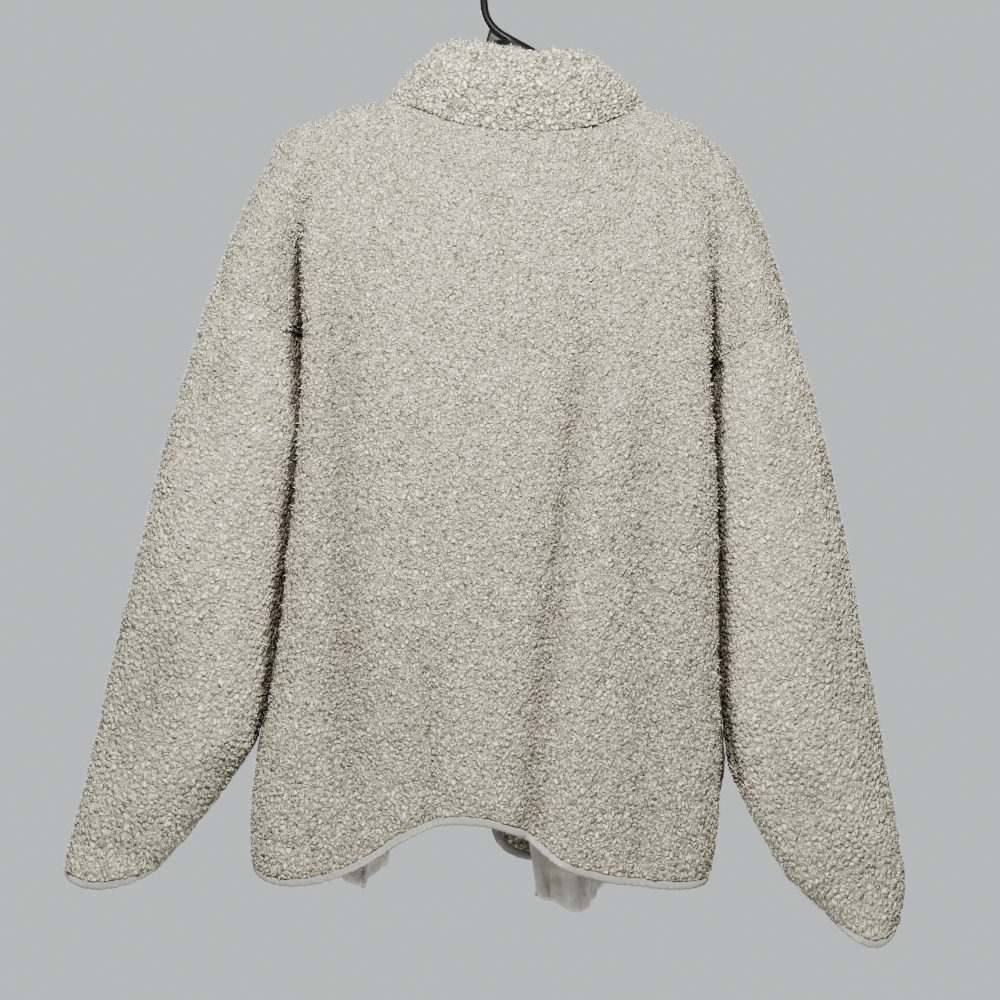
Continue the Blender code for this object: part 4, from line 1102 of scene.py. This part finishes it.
def curled_shell(name, cloth, edge, across, down, seed, high=(1.0, 1.8), top=(0.66, 0.82), inside=None,
                 skins=(OUTER_BASE, INNER_SKIN), lean=(0.0, 0.3), left_out=0.10):
    """One sherpa piece. inside(place) says where its hidden side has curls too."""
    rng = np.random.default_rng(seed + 1000)
    flat_cells = cells(cloth, edge, across, down, seed, left_out)
    spots = np.array([v.co[:2] for v in flat_cells.vertices]) * (1, -1)
    place = cloth.at(cloth.place, spots[:, 0], spots[:, 1])
    aim = cloth.at(cloth.aim, spots[:, 0], spots[:, 1])
    aim /= np.maximum(np.linalg.norm(aim, axis=1, keepdims=True), 1e-9)
    flat = cloth.at(cloth.flat, spots[:, 0], spots[:, 1])
    place = place + aim * swell(flat, ((11, 0.35), (26, 0.45), (60, 0.5)), rng)[:, None]

    bm = bmesh.new()
    bm.from_mesh(flat_cells)
    number = bm.verts.layers.int.new("number")
    behind = bm.verts.layers.int.new("behind")
    top_of = bm.verts.layers.int.new("top_of")
    kind = bm.faces.layers.int.new("kind")
    bm.verts.ensure_lookup_table()
    for i, vert in enumerate(bm.verts):
        vert[number] = i
    outer = bm.faces[:]
    made = bmesh.ops.solidify(bm, geom=outer, thickness=1.0)["geom"]
    inner = [g for g in made if isinstance(g, bmesh.types.BMFace)]
    for face in bm.faces:
        face[kind] = 3
    for face in inner:
        face[kind] = 2
        for vert in face.verts:
            vert[behind] = 1
    piled = []
    if inside is not None:
        chosen = inside(place)
        piled = [f for f in inner if all(chosen[v[number]] for v in f.verts)]
    for group in (outer, piled):
        if group:
            for face in group:
                face[kind] = 1
            tops = bmesh.ops.extrude_discrete_faces(bm, faces=group)["faces"]
            for face in tops:
                face[kind] = 0
                for vert in face.verts:
                    vert[top_of] = 1
    mesh = bpy.data.meshes.new(name)
    bm.to_mesh(mesh)
    bm.free()
    shape_curls(mesh, place, aim, flat, hollowness(name, place, aim), rng, high, top, skins, lean)
    return mesh


def read(mesh, name, kind=int):
    data = mesh.attributes[name].data
    out = np.empty(len(data), kind)
    data.foreach_get("value", out)
    return out


def shape_curls(mesh, place, aim, flat, hollow, rng, high, top, skins, lean):
    number, behind, top_of, face_kind = (read(mesh, n) for n in ("number", "behind", "top_of", "kind"))
    way = np.where(behind == 1, -1.0, 1.0)
    shallow = np.clip(0.5 + 1.1 * swell(flat, ((10, 0.5), (21, 0.6)), rng) + rng.normal(0, 0.22, len(flat)), 0, 1)
    base = np.where(behind == 1, skins[1], skins[0]) + (shallow * 0.75 * high[0])[number] * (behind == 0)
    where = place[number] + aim[number] * base[:, None]
    lies = flat[number].copy()

    loop_vert = np.empty(len(mesh.loops), int)
    mesh.loops.foreach_get("vertex_index", loop_vert)
    starts = np.empty(len(mesh.polygons), int)
    sizes = np.empty(len(mesh.polygons), int)
    mesh.polygons.foreach_get("loop_start", starts)
    mesh.polygons.foreach_get("loop_total", sizes)
    face_of = np.repeat(np.arange(len(starts)), sizes)
    is_top = (top_of[loop_vert] == 1) & (face_kind[face_of] == 0)
    verts = loop_vert[is_top]
    face = face_of[is_top]

    def mean(values):
        return np.stack([np.bincount(face, values[:, i], len(starts)) for i in range(values.shape[1])],
                        axis=1) / np.maximum(sizes, 1)[:, None]

    middle, flat_middle, out = mean(where[verts]), mean(lies[verts]), mean((aim[number] * way[:, None])[verts])
    share = rng.uniform(*top, len(starts))[face][:, None]
    rise = rng.uniform(*high, len(starts))[face] * rng.uniform(0.86, 1.14, len(verts))
    nudge = rng.normal(0, lean[1], (len(starts), 3)) + (0, 0, -lean[0])
    where[verts] = (middle[face] + (where[verts] - middle[face]) * share + out[face] * rise[:, None]
                    + (nudge - out * np.sum(nudge * out, axis=1)[:, None])[face])
    lies[verts] = flat_middle[face] + (lies[verts] - flat_middle[face]) * share
    mesh.vertices.foreach_set("co", hung(where).ravel())
    # No loose tips in the slits.
    sunk = np.bincount(face_of, hollow[number[loop_vert]], len(starts)) / np.maximum(sizes, 1)
    face_kind[(face_kind == 0) & (sunk > 1.0)] = 1
    mesh.attributes["kind"].data.foreach_set("value", face_kind)
    # The attributes "hollow" and "crack" tell the material where to paint shade: in folds, slits and cracks.
    dip = mesh.attributes.new("hollow", "FLOAT", "POINT")
    dip.data.foreach_set("value", hollow[number].astype(np.float32))
    crack = mesh.attributes.new("crack", "FLOAT", "POINT")
    crack.data.foreach_set("value", ((1.0 - top_of) * (1.0 - 0.9 * shallow)[number]).astype(np.float32))

    low, size = lies.min(axis=0), np.ptp(lies, axis=0)
    spot = (lies - low) / size
    spot[:, 1] = RIM_STRIP + 0.01 + (0.99 - RIM_STRIP - 0.01) * (1 - spot[:, 1])
    spot[:, 0] = np.where(behind == 1, 0.995 - 0.49 * spot[:, 0], 0.005 + 0.49 * spot[:, 0])
    uv = spot[loop_vert]
    rim_faces = np.flatnonzero(face_kind == 3)
    if len(rim_faces):
        slot_of = np.full(len(starts), -1)
        slot_of[rim_faces] = np.arange(len(rim_faces))
        on_rim = slot_of[face_of] >= 0
        corner = (np.arange(len(loop_vert)) - starts[face_of])[on_rim]
        box_x = np.where((corner == 1) | (corner == 2), 0.9, 0.1)
        box_y = np.where(corner >= 2, 0.9, 0.1)
        uv[on_rim, 0] = (slot_of[face_of][on_rim] + box_x) / len(rim_faces)
        uv[on_rim, 1] = box_y * RIM_STRIP
    layer = mesh.uv_layers.new(name="OFBake")
    layer.data.foreach_set("uv", uv.ravel())
    for name in ("number", "behind", "top_of"):
        mesh.attributes.remove(mesh.attributes[name])
    mesh.shade_smooth()
    mesh.update()
    # A face whose corners would be shaded as if it looked the other way is shaded flat instead.
    corner_way, face_way = np.empty(len(mesh.loops) * 3), np.empty(len(starts) * 3)
    mesh.corner_normals.foreach_get("vector", corner_way)
    mesh.polygons.foreach_get("normal", face_way)
    agree = np.sum(corner_way.reshape(-1, 3) * face_way.reshape(-1, 3)[face_of], axis=1)
    worst = np.ones(len(starts))
    np.minimum.at(worst, face_of, agree)
    mesh.polygons.foreach_set("use_smooth", worst > 0.15)


# %% [markdown]
# Each finished mesh becomes a piece: an object that rides on the jacket's one body, replaces the plain solid of
# the same place, and takes its finishes.

# %% Making pieces
PIECES = {}


def piece(name, mesh, finishes, slot, *stands_for):
    made = bpy.data.objects.new(name, mesh)
    bpy.context.scene.collection.objects.link(made)
    mesh.materials.clear()
    for finish in finishes:
        mesh.materials.append(finish)
    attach(made, BODY_NAME)
    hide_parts(*stands_for)
    PIECES[name] = made
    print(name, sum(len(p.vertices) - 2 for p in mesh.polygons), "triangles")
    return made


# %% [markdown]
# Loose tips of the pile stand out from the curls, and they are what makes the outline soft. Each is a slim cone
# on the curls' tops. Geometry Nodes scatters the cones, turns each one out along the cloth and tips it a little.

# %% Loose tips of pile
TIP_LONG, TIP_RADIUS = 0.0036, 0.00048
tips_group = bpy.data.node_groups.new("loose_tips", "GeometryNodeTree")
tips_group.interface.new_socket("Geometry", in_out="INPUT", socket_type="NodeSocketGeometry")
tips_group.interface.new_socket("Density", in_out="INPUT", socket_type="NodeSocketFloat")
tips_group.interface.new_socket("Geometry", in_out="OUTPUT", socket_type="NodeSocketGeometry")


def step(kind, settings=None, **inputs):
    """A geometry node with its settings, and its inputs as numbers or links; underscores stand for spaces."""
    made = tips_group.nodes.new("NodeGroup" + kind if kind in ("Input", "Output") else kind)
    for label, value in (settings or {}).items():
        setattr(made, label, value)
    for label, value in inputs.items():
        socket = made.inputs[int(label[1:])] if label[1:].isdigit() else made.inputs[label.replace("_", " ")]
        if isinstance(value, bpy.types.NodeSocket):
            tips_group.links.new(value, socket)
        else:
            socket.default_value = value
    return made.outputs


given = step("Input")
kind_of = step("GeometryNodeInputNamedAttribute", {"data_type": "INT"}, Name="kind")
on_top = step("FunctionNodeCompare", {"data_type": "INT", "operation": "LESS_THAN"}, i2=kind_of[0], i3=1)
spots = step("GeometryNodeDistributePointsOnFaces", Mesh=given[0], Selection=on_top[0], Density=given[1], Seed=5)
tip = step("GeometryNodeMeshCone", Vertices=3, Side_Segments=1, Radius_Top=0.0, Radius_Bottom=TIP_RADIUS,
           Depth=TIP_LONG)
tipped = step("FunctionNodeRandomValue", {"data_type": "FLOAT_VECTOR"}, i0=(-0.65, -0.65, -3.1), i1=(0.65, 0.65, 3.1),
              Seed=9)
aimed = step("FunctionNodeRotateRotation", {"rotation_space": "LOCAL"}, Rotation=spots["Rotation"],
             Rotate_By=tipped[0])
sizes = step("FunctionNodeRandomValue", {"data_type": "FLOAT"}, i2=0.55, i3=1.15, Seed=13)
stood = step("GeometryNodeInstanceOnPoints", Points=spots["Points"], Instance=tip[0], Rotation=aimed[0],
             Scale=sizes[1])
real = step("GeometryNodeRealizeInstances", Geometry=stood[0])
step("Output", Geometry=real[0])


def loose_tips(name, mesh, density):
    def scatter(holder):
        made = holder.modifiers.new("tips", "NODES")
        made.node_group = tips_group
        made["Socket_1"] = density

    made = evaluated(mesh, scatter)
    made.name = name
    made.shade_smooth()
    return made


# %% [markdown]
# The back is one piece from cuff seam to cuff seam, and it is what is seen most. Its cells are a little under
# 6 mm. The hidden side is plain: its curls are drawn by the material, as they are only glimpsed.

# %% The back
LAST_ROW = LAST_UPPER + len(LOWER)
END = CLOTH["back"].place.shape[1] - 1
NEAR, FAR = SHOULDER_COLUMNS, END - SHOULDER_COLUMNS
BACK_EDGE = [(0, 0), (SHOULDER_COLUMNS, 0), (CLOTH["back"].place.shape[1] // 2, 0), (FAR, 0), (END, 0),
             (END, LAST_UPPER), (FAR, LAST_UPPER), (FAR, LAST_ROW), (NEAR, LAST_ROW), (NEAR, LAST_UPPER),
             (0, LAST_UPPER)]


def two_sided(mesh):
    """Hidden faces take the second finish."""
    kinds = read(mesh, "kind")
    mesh.polygons.foreach_set("material_index", (kinds == 2).astype(np.int32))
    mesh.attributes.remove(mesh.attributes["kind"])


mesh = curled_shell("back_pile", CLOTH["back"], BACK_EDGE, 6.3, 5.4, seed=12)
piece("back_tips", loose_tips("back_tips", mesh, 60000.0), (TIPS,), "sherpa", "back")
two_sided(mesh)
piece("back_pile", mesh, (SHERPA, SHERPA_INSIDE), "sherpa", "back")

# %% [markdown]
# The fronts hang open. Only their lower corners are seen from behind, under the arch of the hem, and there the
# hidden side gets real curls too.

# %% The fronts
for side, seed in (("left", 21), ("right", 31)):
    cloth = CLOTH["front_" + side]
    last = cloth.place.shape[1] - 1
    edge = [(0, 0), (last, 0), (last, LAST_UPPER), (last - SHOULDER_COLUMNS, LAST_UPPER),
            (last - SHOULDER_COLUMNS, LAST_ROW), (0, LAST_ROW), (0, LAST_UPPER)]
    if side == "right":
        edge = [(last - c, r) for c, r in edge][::-1]
    mesh = curled_shell("front_%s_pile" % side, cloth, edge, 5.9, 5.1, seed,
                        inside=lambda place: place[:, 2] < -760)
    piece("front_%s_tips" % side, loose_tips("front_tips", mesh, 55000.0), (TIPS,), "sherpa", "front_" + side)
    two_sided(mesh)
    piece("front_%s_pile" % side, mesh, (SHERPA, SHERPA_INSIDE), "sherpa", "front_" + side)

# %% [markdown]
# A sleeve is one piece sewn into a tube under the arm. Its curls are larger than the back's.

# %% The sleeves
for side, seed in (("left", 41), ("right", 51)):
    cloth = CLOTH["sleeve_" + side]
    rows, cols = cloth.place.shape[:2]
    edge = [(0, 0), (cols - 1, 0), (cols - 1, rows - 1), (0, rows - 1)]
    mesh = curled_shell("sleeve_%s_pile" % side, cloth, edge, 6.5, 5.6, seed, high=(1.2, 2.4), top=(0.60, 0.76))
    piece("sleeve_%s_tips" % side, loose_tips("sleeve_tips", mesh, 70000.0), (TIPS,), "sherpa", "sleeve_" + side)
    two_sided(mesh)
    piece("sleeve_%s_pile" % side, mesh, (SHERPA_LONG, SHERPA_INSIDE), "sherpa", "sleeve_" + side)

# %% [markdown]
# Where the collar turns over its top edge, the pile opens into large upright locks. Its hidden side lies
# between the two layers.

# %% The collar
cloth = CLOTH["collar"]
rows, cols = cloth.place.shape[:2]
edge = [(0, 0), (cols - 1, 0), (cols - 1, rows // 2), (cols - 1, rows - 1), (0, rows - 1), (0, rows // 2)]
mesh = curled_shell("collar_pile", cloth, edge, 6.2, 6.0, 61, high=(1.5, 2.8), top=(0.60, 0.76),
                    skins=(0.2, -1.0), left_out=0.12)
piece("collar_tips", loose_tips("collar_tips", mesh, 90000.0), (TIPS,), "sherpa", "collar")
two_sided(mesh)
piece("collar_pile", mesh, (SHERPA_COLLAR, SHERPA_INSIDE), "sherpa", "collar")

# %% [markdown]
# Smooth parts start as a flat grid that is bent into shape: every point of the grid is asked where it goes.
# When the last column lands on the first, and a whole end row lands on one point, merging the doubles makes a
# closed skin, and the grid's own square becomes its texture map.

# %% Bending a grid into a closed skin


def bent(name, around, along, place):
    bm = bmesh.new()
    layer = bm.loops.layers.uv.new("OFBake")
    bmesh.ops.create_grid(bm, x_segments=around, y_segments=along, size=0.5)
    spot = np.array([v.co[:2] for v in bm.verts])
    spot = (spot - spot.min(axis=0)) / np.ptp(spot, axis=0)
    for face in bm.faces:
        for loop in face.loops:
            loop[layer].uv = spot[loop.vert.index] * 0.98 + 0.01
    for vert, where in zip(bm.verts, hung(place(spot[:, 0], spot[:, 1]))):
        vert.co = where
    bmesh.ops.remove_doubles(bm, verts=bm.verts, dist=2e-6)
    bmesh.ops.recalc_face_normals(bm, faces=bm.faces)
    mesh = bpy.data.meshes.new(name)
    bm.to_mesh(mesh)
    bm.free()
    mesh.shade_smooth()
    return mesh


# %% [markdown]
# The binding is a tape folded over the cut edge, so its section is a flat oval that stands off the edge. It is
# pulled a little tight, so it puckers: the oval swells and shrinks unevenly along its length.

# %% Bindings
TAPE_HALF_THICK = 3.1
TAPE_HALF_TALL = 4.1


def taped_edge(name, cloth, stops, closed, seed):
    rng = np.random.default_rng(seed)
    path = cloth.walk(stops, 2.2)
    place = cloth.at(cloth.place, path[:, 0], path[:, 1])
    aim = cloth.at(cloth.aim, path[:, 0], path[:, 1])
    if closed:
        place[-1], aim[-1] = place[0], aim[0]
        wide = np.concatenate([place[-3:-1], place, place[1:3]])
        along = np.gradient(wide, axis=0)[2:-2]
        along[-1] = along[0]
    else:
        along = np.gradient(place, axis=0)
    along /= np.linalg.norm(along, axis=1, keepdims=True)
    out = np.cross(along, aim)
    out /= np.linalg.norm(out, axis=1, keepdims=True)
    length = np.r_[0, np.cumsum(np.linalg.norm(np.diff(place, axis=0), axis=1))]
    total = length[-1]
    puckers = [(rng.uniform(5, 16), rng.uniform(0, 6.28), rng.uniform(0.02, 0.06)) for _ in range(6)]

    def where(u, v):
        s = np.clip(v, 0, 1) * total
        p = np.stack([np.interp(s, length, place[:, i]) for i in range(3)], axis=1)
        a = np.stack([np.interp(s, length, aim[:, i]) for i in range(3)], axis=1)
        o = np.stack([np.interp(s, length, out[:, i]) for i in range(3)], axis=1)
        turn = 2 * math.pi * u
        full = 1.0
        for size, phase, high in puckers:
            full = full + high * np.sin(2 * math.pi * s / (total / max(round(total / size), 1)) + phase)
        if not closed:
            full = full * quarter(np.minimum(s, total - s) / 3.0)
        side = np.sign(np.cos(turn)) * np.abs(np.cos(turn)) ** 0.8 * TAPE_HALF_THICK * full
        reach = TAPE_HALF_TALL * (1 + np.sin(turn) * np.minimum(full, 1.06))
        return p + a * side[:, None] + o * reach[:, None]

    return bent(name, 14, max(int(total / 2.6), 20), where)


mesh = taped_edge("hem_tape_back", CLOTH["back"], [(NEAR, LAST_ROW), (FAR, LAST_ROW)], False, 71)
piece("hem_tape_back", mesh, (BINDING,), "binding_cloth", "binding_back_hem")
for side, seed in (("left", 72), ("right", 73)):
    cloth = CLOTH["front_" + side]
    last = cloth.place.shape[1] - 1
    # Each runs so that the tape's reach points away from the cloth: the left one down its free edge and then
    # along the hem, the right one along the hem and then up its free edge.
    if side == "left":
        stops = [(0, 0), (0, LAST_ROW), (last - SHOULDER_COLUMNS, LAST_ROW)]
    else:
        stops = [(SHOULDER_COLUMNS, LAST_ROW), (last, LAST_ROW), (last, 0)]
    mesh = taped_edge("front_tape_" + side, cloth, stops, False, seed)
    piece("front_tape_" + side, mesh, (BINDING,), "binding_cloth", "binding_front_" + side)
    cloth = CLOTH["sleeve_" + side]
    rows, cols = cloth.place.shape[:2]
    mesh = taped_edge("cuff_tape_" + side, cloth, [(0, rows - 1), (cols - 1, rows - 1)], True, seed + 4)
    piece("cuff_tape_" + side, mesh, (BINDING,), "binding_cloth", "binding_cuff_" + side)

# %% [markdown]
# Each pocket is a flat bag that hangs inside its front, hemmed at the sides. Its lower end swings free below
# the hem, where thin cloth falls into soft upright folds. The slanted opening has a narrow welt.

# %% Pockets
BAG_WALL = 2.4
BAG_GAP = 0.7
WELT_WIDE = 14.0
WELT_THICK = 2.4
FRONT_SKIN = {}
for side in SIDES:
    bm = bmesh.new()
    bm.from_mesh(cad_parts["front_" + side].data)
    FRONT_SKIN[side] = BVHTree.FromBMesh(bm)
    bm.free()


def skin_depth(side, x, drop, outside):
    """How deep the front's wall lies at this x and drop, met from outside or from inside."""
    start = hung(np.array([x, 200.0 if outside else -20.0, -drop]))
    hit = FRONT_SKIN[side].ray_cast(Vector(start), Vector((0, -1 if outside else 1, 0)))[0]
    return (-999.0 if outside else 999.0) if hit is None else hit.y * 1000.0


# The lower edge of each bag: share of the way across, and how much higher than the lowest drop it ends.
BAG_FOOT = {
    "left": ((0.0, 33), (0.25, 14), (0.5, 0), (0.75, 6), (1.0, 13)),
    "right": ((0.0, 13), (0.16, 8), (0.32, 10), (0.55, 0), (0.8, 15), (1.0, 30)),
}
BAG_SWING = {"left": 8.0, "right": 3.0}


def bag_middle(side, u, v):
    x0, x1, top, bottom = BAG[side]
    gather = ease((v - 0.25) / 0.75)
    x = lerp(0.5 * (x0 + x1), lerp(x0, x1, u), lerp(1.0, 0.78, ease(v))) + BAG_SWING[side] * ease(v)
    x = lerp(x, 0.5 * (x0 + x1) + BAG_SWING[side] * ease(v), 0.17 * ease((v - 0.74) / 0.26))
    x = x + 3.0 * gather * math.sin(u * math.pi * 4.0)
    foot = np.array(BAG_FOOT[side])
    drop = lerp(top, bottom - smooth(foot[:, 0], foot[:, 1], u) * gather, v)
    near_skin = min(skin_depth(side, x + i, min(drop, 805.0) + j, False) for i in (-7, 0, 7) for j in (-9, 0, 9))
    y = near_skin - BAG_WALL / 2 - BAG_GAP
    pleat = 0.5 + 0.5 * math.sin(u * math.pi * 5.0 + 0.6 + 1.2 * v)
    y = y - gather * (6.0 + 9.0 * pleat ** 0.7 + 3.0 * abs(math.sin(u * 21.0)))
    return x, y, -drop


def pocket_bag(side):
    marks = np.linspace(0, 1, 33)
    middle = np.array([[bag_middle(side, u, v) for u in marks] for v in marks])
    sheet = Cloth(middle, 16)

    def where(u, v):
        over = 1 - np.abs(2 * u - 1)
        c, r = over * 32, v * 32
        p = sheet.at(sheet.place, c, r)
        a = sheet.at(sheet.aim, c, r)
        a /= np.linalg.norm(a, axis=1, keepdims=True)
        edge = quarter(np.minimum(over, 1 - over) * 14) * quarter(np.minimum(v, 1 - v) * 24)
        hem = 1 + 0.5 * np.exp(-((np.minimum(over, 1 - over) - 0.035) / 0.02) ** 2)
        crumple = 4.6 * np.abs(np.sin(over * 7.5 + v * 6.0)) + 3.4 * np.abs(np.sin(over * 13.0 - v * 10.0 + 1.0))
        crumple = crumple + 1.5 * np.abs(np.sin(over * 4.0 + v * 23.0))
        wave = (crumple - 5.0) * ease((v - 0.45) / 0.35) * quarter(np.minimum(over, 1 - over) * 5)
        side_of = np.where(u < 0.5, 1.0, -1.0) * 0.9 * edge * hem
        return p + a * (side_of + wave)[:, None]

    return bent("pocket_bag", 96, 72, where)


def pocket_welt(side):
    x0, x1, top, bottom = POCKET[side]
    marks = np.linspace(0, 1, 11)
    middle = []
    for t in marks:
        x, drop = lerp(x0, x1, t), lerp(top, bottom, t)
        depth = max(skin_depth(side, x + w * WELT_WIDE, drop + d, True) for w in (-0.5, 0, 0.5) for d in (-7, 0, 7))
        middle.append((x, depth + 0.9 + WELT_THICK / 2, -drop))
    middle = np.array(middle)

    def where(u, v):
        p = np.stack([np.interp(v, marks, middle[:, i]) for i in range(3)], axis=1)
        turn = 2 * math.pi * u
        end = quarter(np.minimum(v, 1 - v) * 60)
        cos, sin = np.cos(turn), np.sin(turn)
        x = np.sign(cos) * np.abs(cos) ** 0.6 * WELT_WIDE / 2 * end
        y = np.sign(sin) * np.abs(sin) ** 0.6 * WELT_THICK / 2 * end * (1 + 0.08 * np.sin(v * 40))
        return p + np.stack([x, y, 0 * x], axis=1)

    return bent("pocket_welt", 24, 60, where)


for side in SIDES:
    piece("pocket_%s_bag" % side, pocket_bag(side), (POCKET_CLOTH,), "pocket_cloth", "pocket_bag_" + side)
    piece("pocket_%s_welt" % side, pocket_welt(side), (BINDING,), "binding_cloth", "pocket_welt_" + side)

# %% [markdown]
# The hanger is one moulding. Its arms, hook and web are drawn as separate closed skins that overlap. A voxel
# remesh then melts them into one skin, and smoothing gives the small fillets that a mould leaves.

# %% The hanger
ARM_WIDE, ARM_TALL = 8.0, 11.0
HOOK_INNER_R, HOOK_ROD_R = 27.0, 3.25
ROD_DRAWN = 3.9          # melting takes this back to the rod's own radius
ARM_PATH = (
    (-197, 180.5), (-184, 172.5), (-151, 158), (-114, 148.5), (-95, 146), (-74, 128), (-50, 105), (-26, 86),
    (0, 75), (22, 83), (52, 101), (82, 125), (104, 143), (122, 145), (138, 145), (170, 160), (190, 174), (199, 182),
)
HOOK_LOW = ((24, 81.5), (8, 73.8), (-4, 68), (-14, 62.5), (-22, 55), (-26.8, 46.5), (-28.6, 37))
WEB_LINE = ((-52, 101), (-30, 82), (-25, 71), (-22, 58), (-12, 64), (0, 70), (22, 81), (54, 101), (2, 112))
VOXEL = 1.05


def rod(path, half_deep, half_tall, power, around, step):
    """A closed bar along a path in the hanger's plane, with a section between round and square."""
    path = np.array(path, float)
    length = np.r_[0, np.cumsum(np.linalg.norm(np.diff(path, axis=0), axis=1))]
    total = length[-1]

    def where(u, v):
        s = v * total
        x, drop = smooth(length, path[:, 0], s), smooth(length, path[:, 1], s)
        dx = smooth(length, path[:, 0], s + 0.5) - smooth(length, path[:, 0], s - 0.5)
        dz = -(smooth(length, path[:, 1], s + 0.5) - smooth(length, path[:, 1], s - 0.5))
        size = np.hypot(dx, dz)
        turn = 2 * math.pi * u
        end = quarter(np.minimum(s, total - s) / half_deep)
        deep = np.sign(np.cos(turn)) * np.abs(np.cos(turn)) ** power * half_deep * end
        tall = np.sign(np.sin(turn)) * np.abs(np.sin(turn)) ** power * half_tall * end
        return np.stack([x - tall * dz / size, deep, -drop + tall * dx / size], axis=1)

    return bent("rod", around, int(total / step), where)


tilt = HANG_TILT
loop = [(HOOK_INNER_R * math.sin(tilt) + (HOOK_INNER_R + HOOK_ROD_R) * math.cos(a),
         HOOK_INNER_R * math.cos(tilt) - (HOOK_INNER_R + HOOK_ROD_R) * math.sin(a))
        for a in np.radians(180 - 10.0 * np.arange(19))]
bm = bmesh.new()
for mesh in (rod(ARM_PATH, ARM_WIDE / 2, ARM_TALL / 2, 0.6, 24, 2.0),
             rod(list(HOOK_LOW) + loop, ROD_DRAWN, ROD_DRAWN, 1.0, 20, 1.5),
             rod(((-17, 78), (-5, 69), (18, 80)), 2.5, 1.0, 1.0, 10, 1.5)):
    bm.from_mesh(mesh)
web = [bm.verts.new(hung(np.array([x, -1.6, -drop]))) for x, drop in WEB_LINE]
face = bmesh.ops.contextual_create(bm, geom=web)["faces"]
lifted = bmesh.ops.extrude_face_region(bm, geom=face, use_keep_orig=True)["geom"]
bmesh.ops.translate(bm, verts=[g for g in lifted if isinstance(g, bmesh.types.BMVert)], vec=(0, 0.0032, 0))
bmesh.ops.recalc_face_normals(bm, faces=bm.faces)
mesh = bpy.data.meshes.new("hanger_parts")
bm.to_mesh(mesh)
bm.free()


def melted(holder):
    remesh = holder.modifiers.new("one_skin", "REMESH")
    remesh.mode = "VOXEL"
    remesh.voxel_size = VOXEL / 1000
    remesh.use_smooth_shade = True
    soften = holder.modifiers.new("fillets", "SMOOTH")
    soften.factor = 0.5
    soften.iterations = 6


hanger_mesh = evaluated(mesh, melted)
hanger_mesh.name = "hanger_moulding"
piece("hanger_moulding", hanger_mesh, (BLACK_PLASTIC,), "black_plastic", "hanger")

# %% [markdown]
# Last, the size each sheet of cloth was cut to is listed, and the pieces on each are looked up. A closed tube counts
# once round.

# %% The cut
CUT = {
    "back": ((0.784, 0.715), 0.362), "front_left": ((0.361, 0.720), 0.134), "front_right": ((0.371, 0.724), 0.167),
    "sleeve_left": ((0.384, 0.555), 0.187), "sleeve_right": ((0.375, 0.570), 0.182),
    "collar": ((0.499, 0.146), 0.062),
}
for name, (flat, area) in CUT.items():
    side = name.split("_")[-1]
    on_it = {"back": ["hem_tape_back"], "sleeve": ["cuff_tape_" + side], "collar": [],
             "front": ["front_tape_" + side, "pocket_%s_welt" % side, "pocket_%s_bag" % side]}[name.split("_")[0]]
    PIECES[name + "_pile"]
    on_it + [name + "_tips"]
    [] if "sleeve" in name else ["hanger_moulding"]
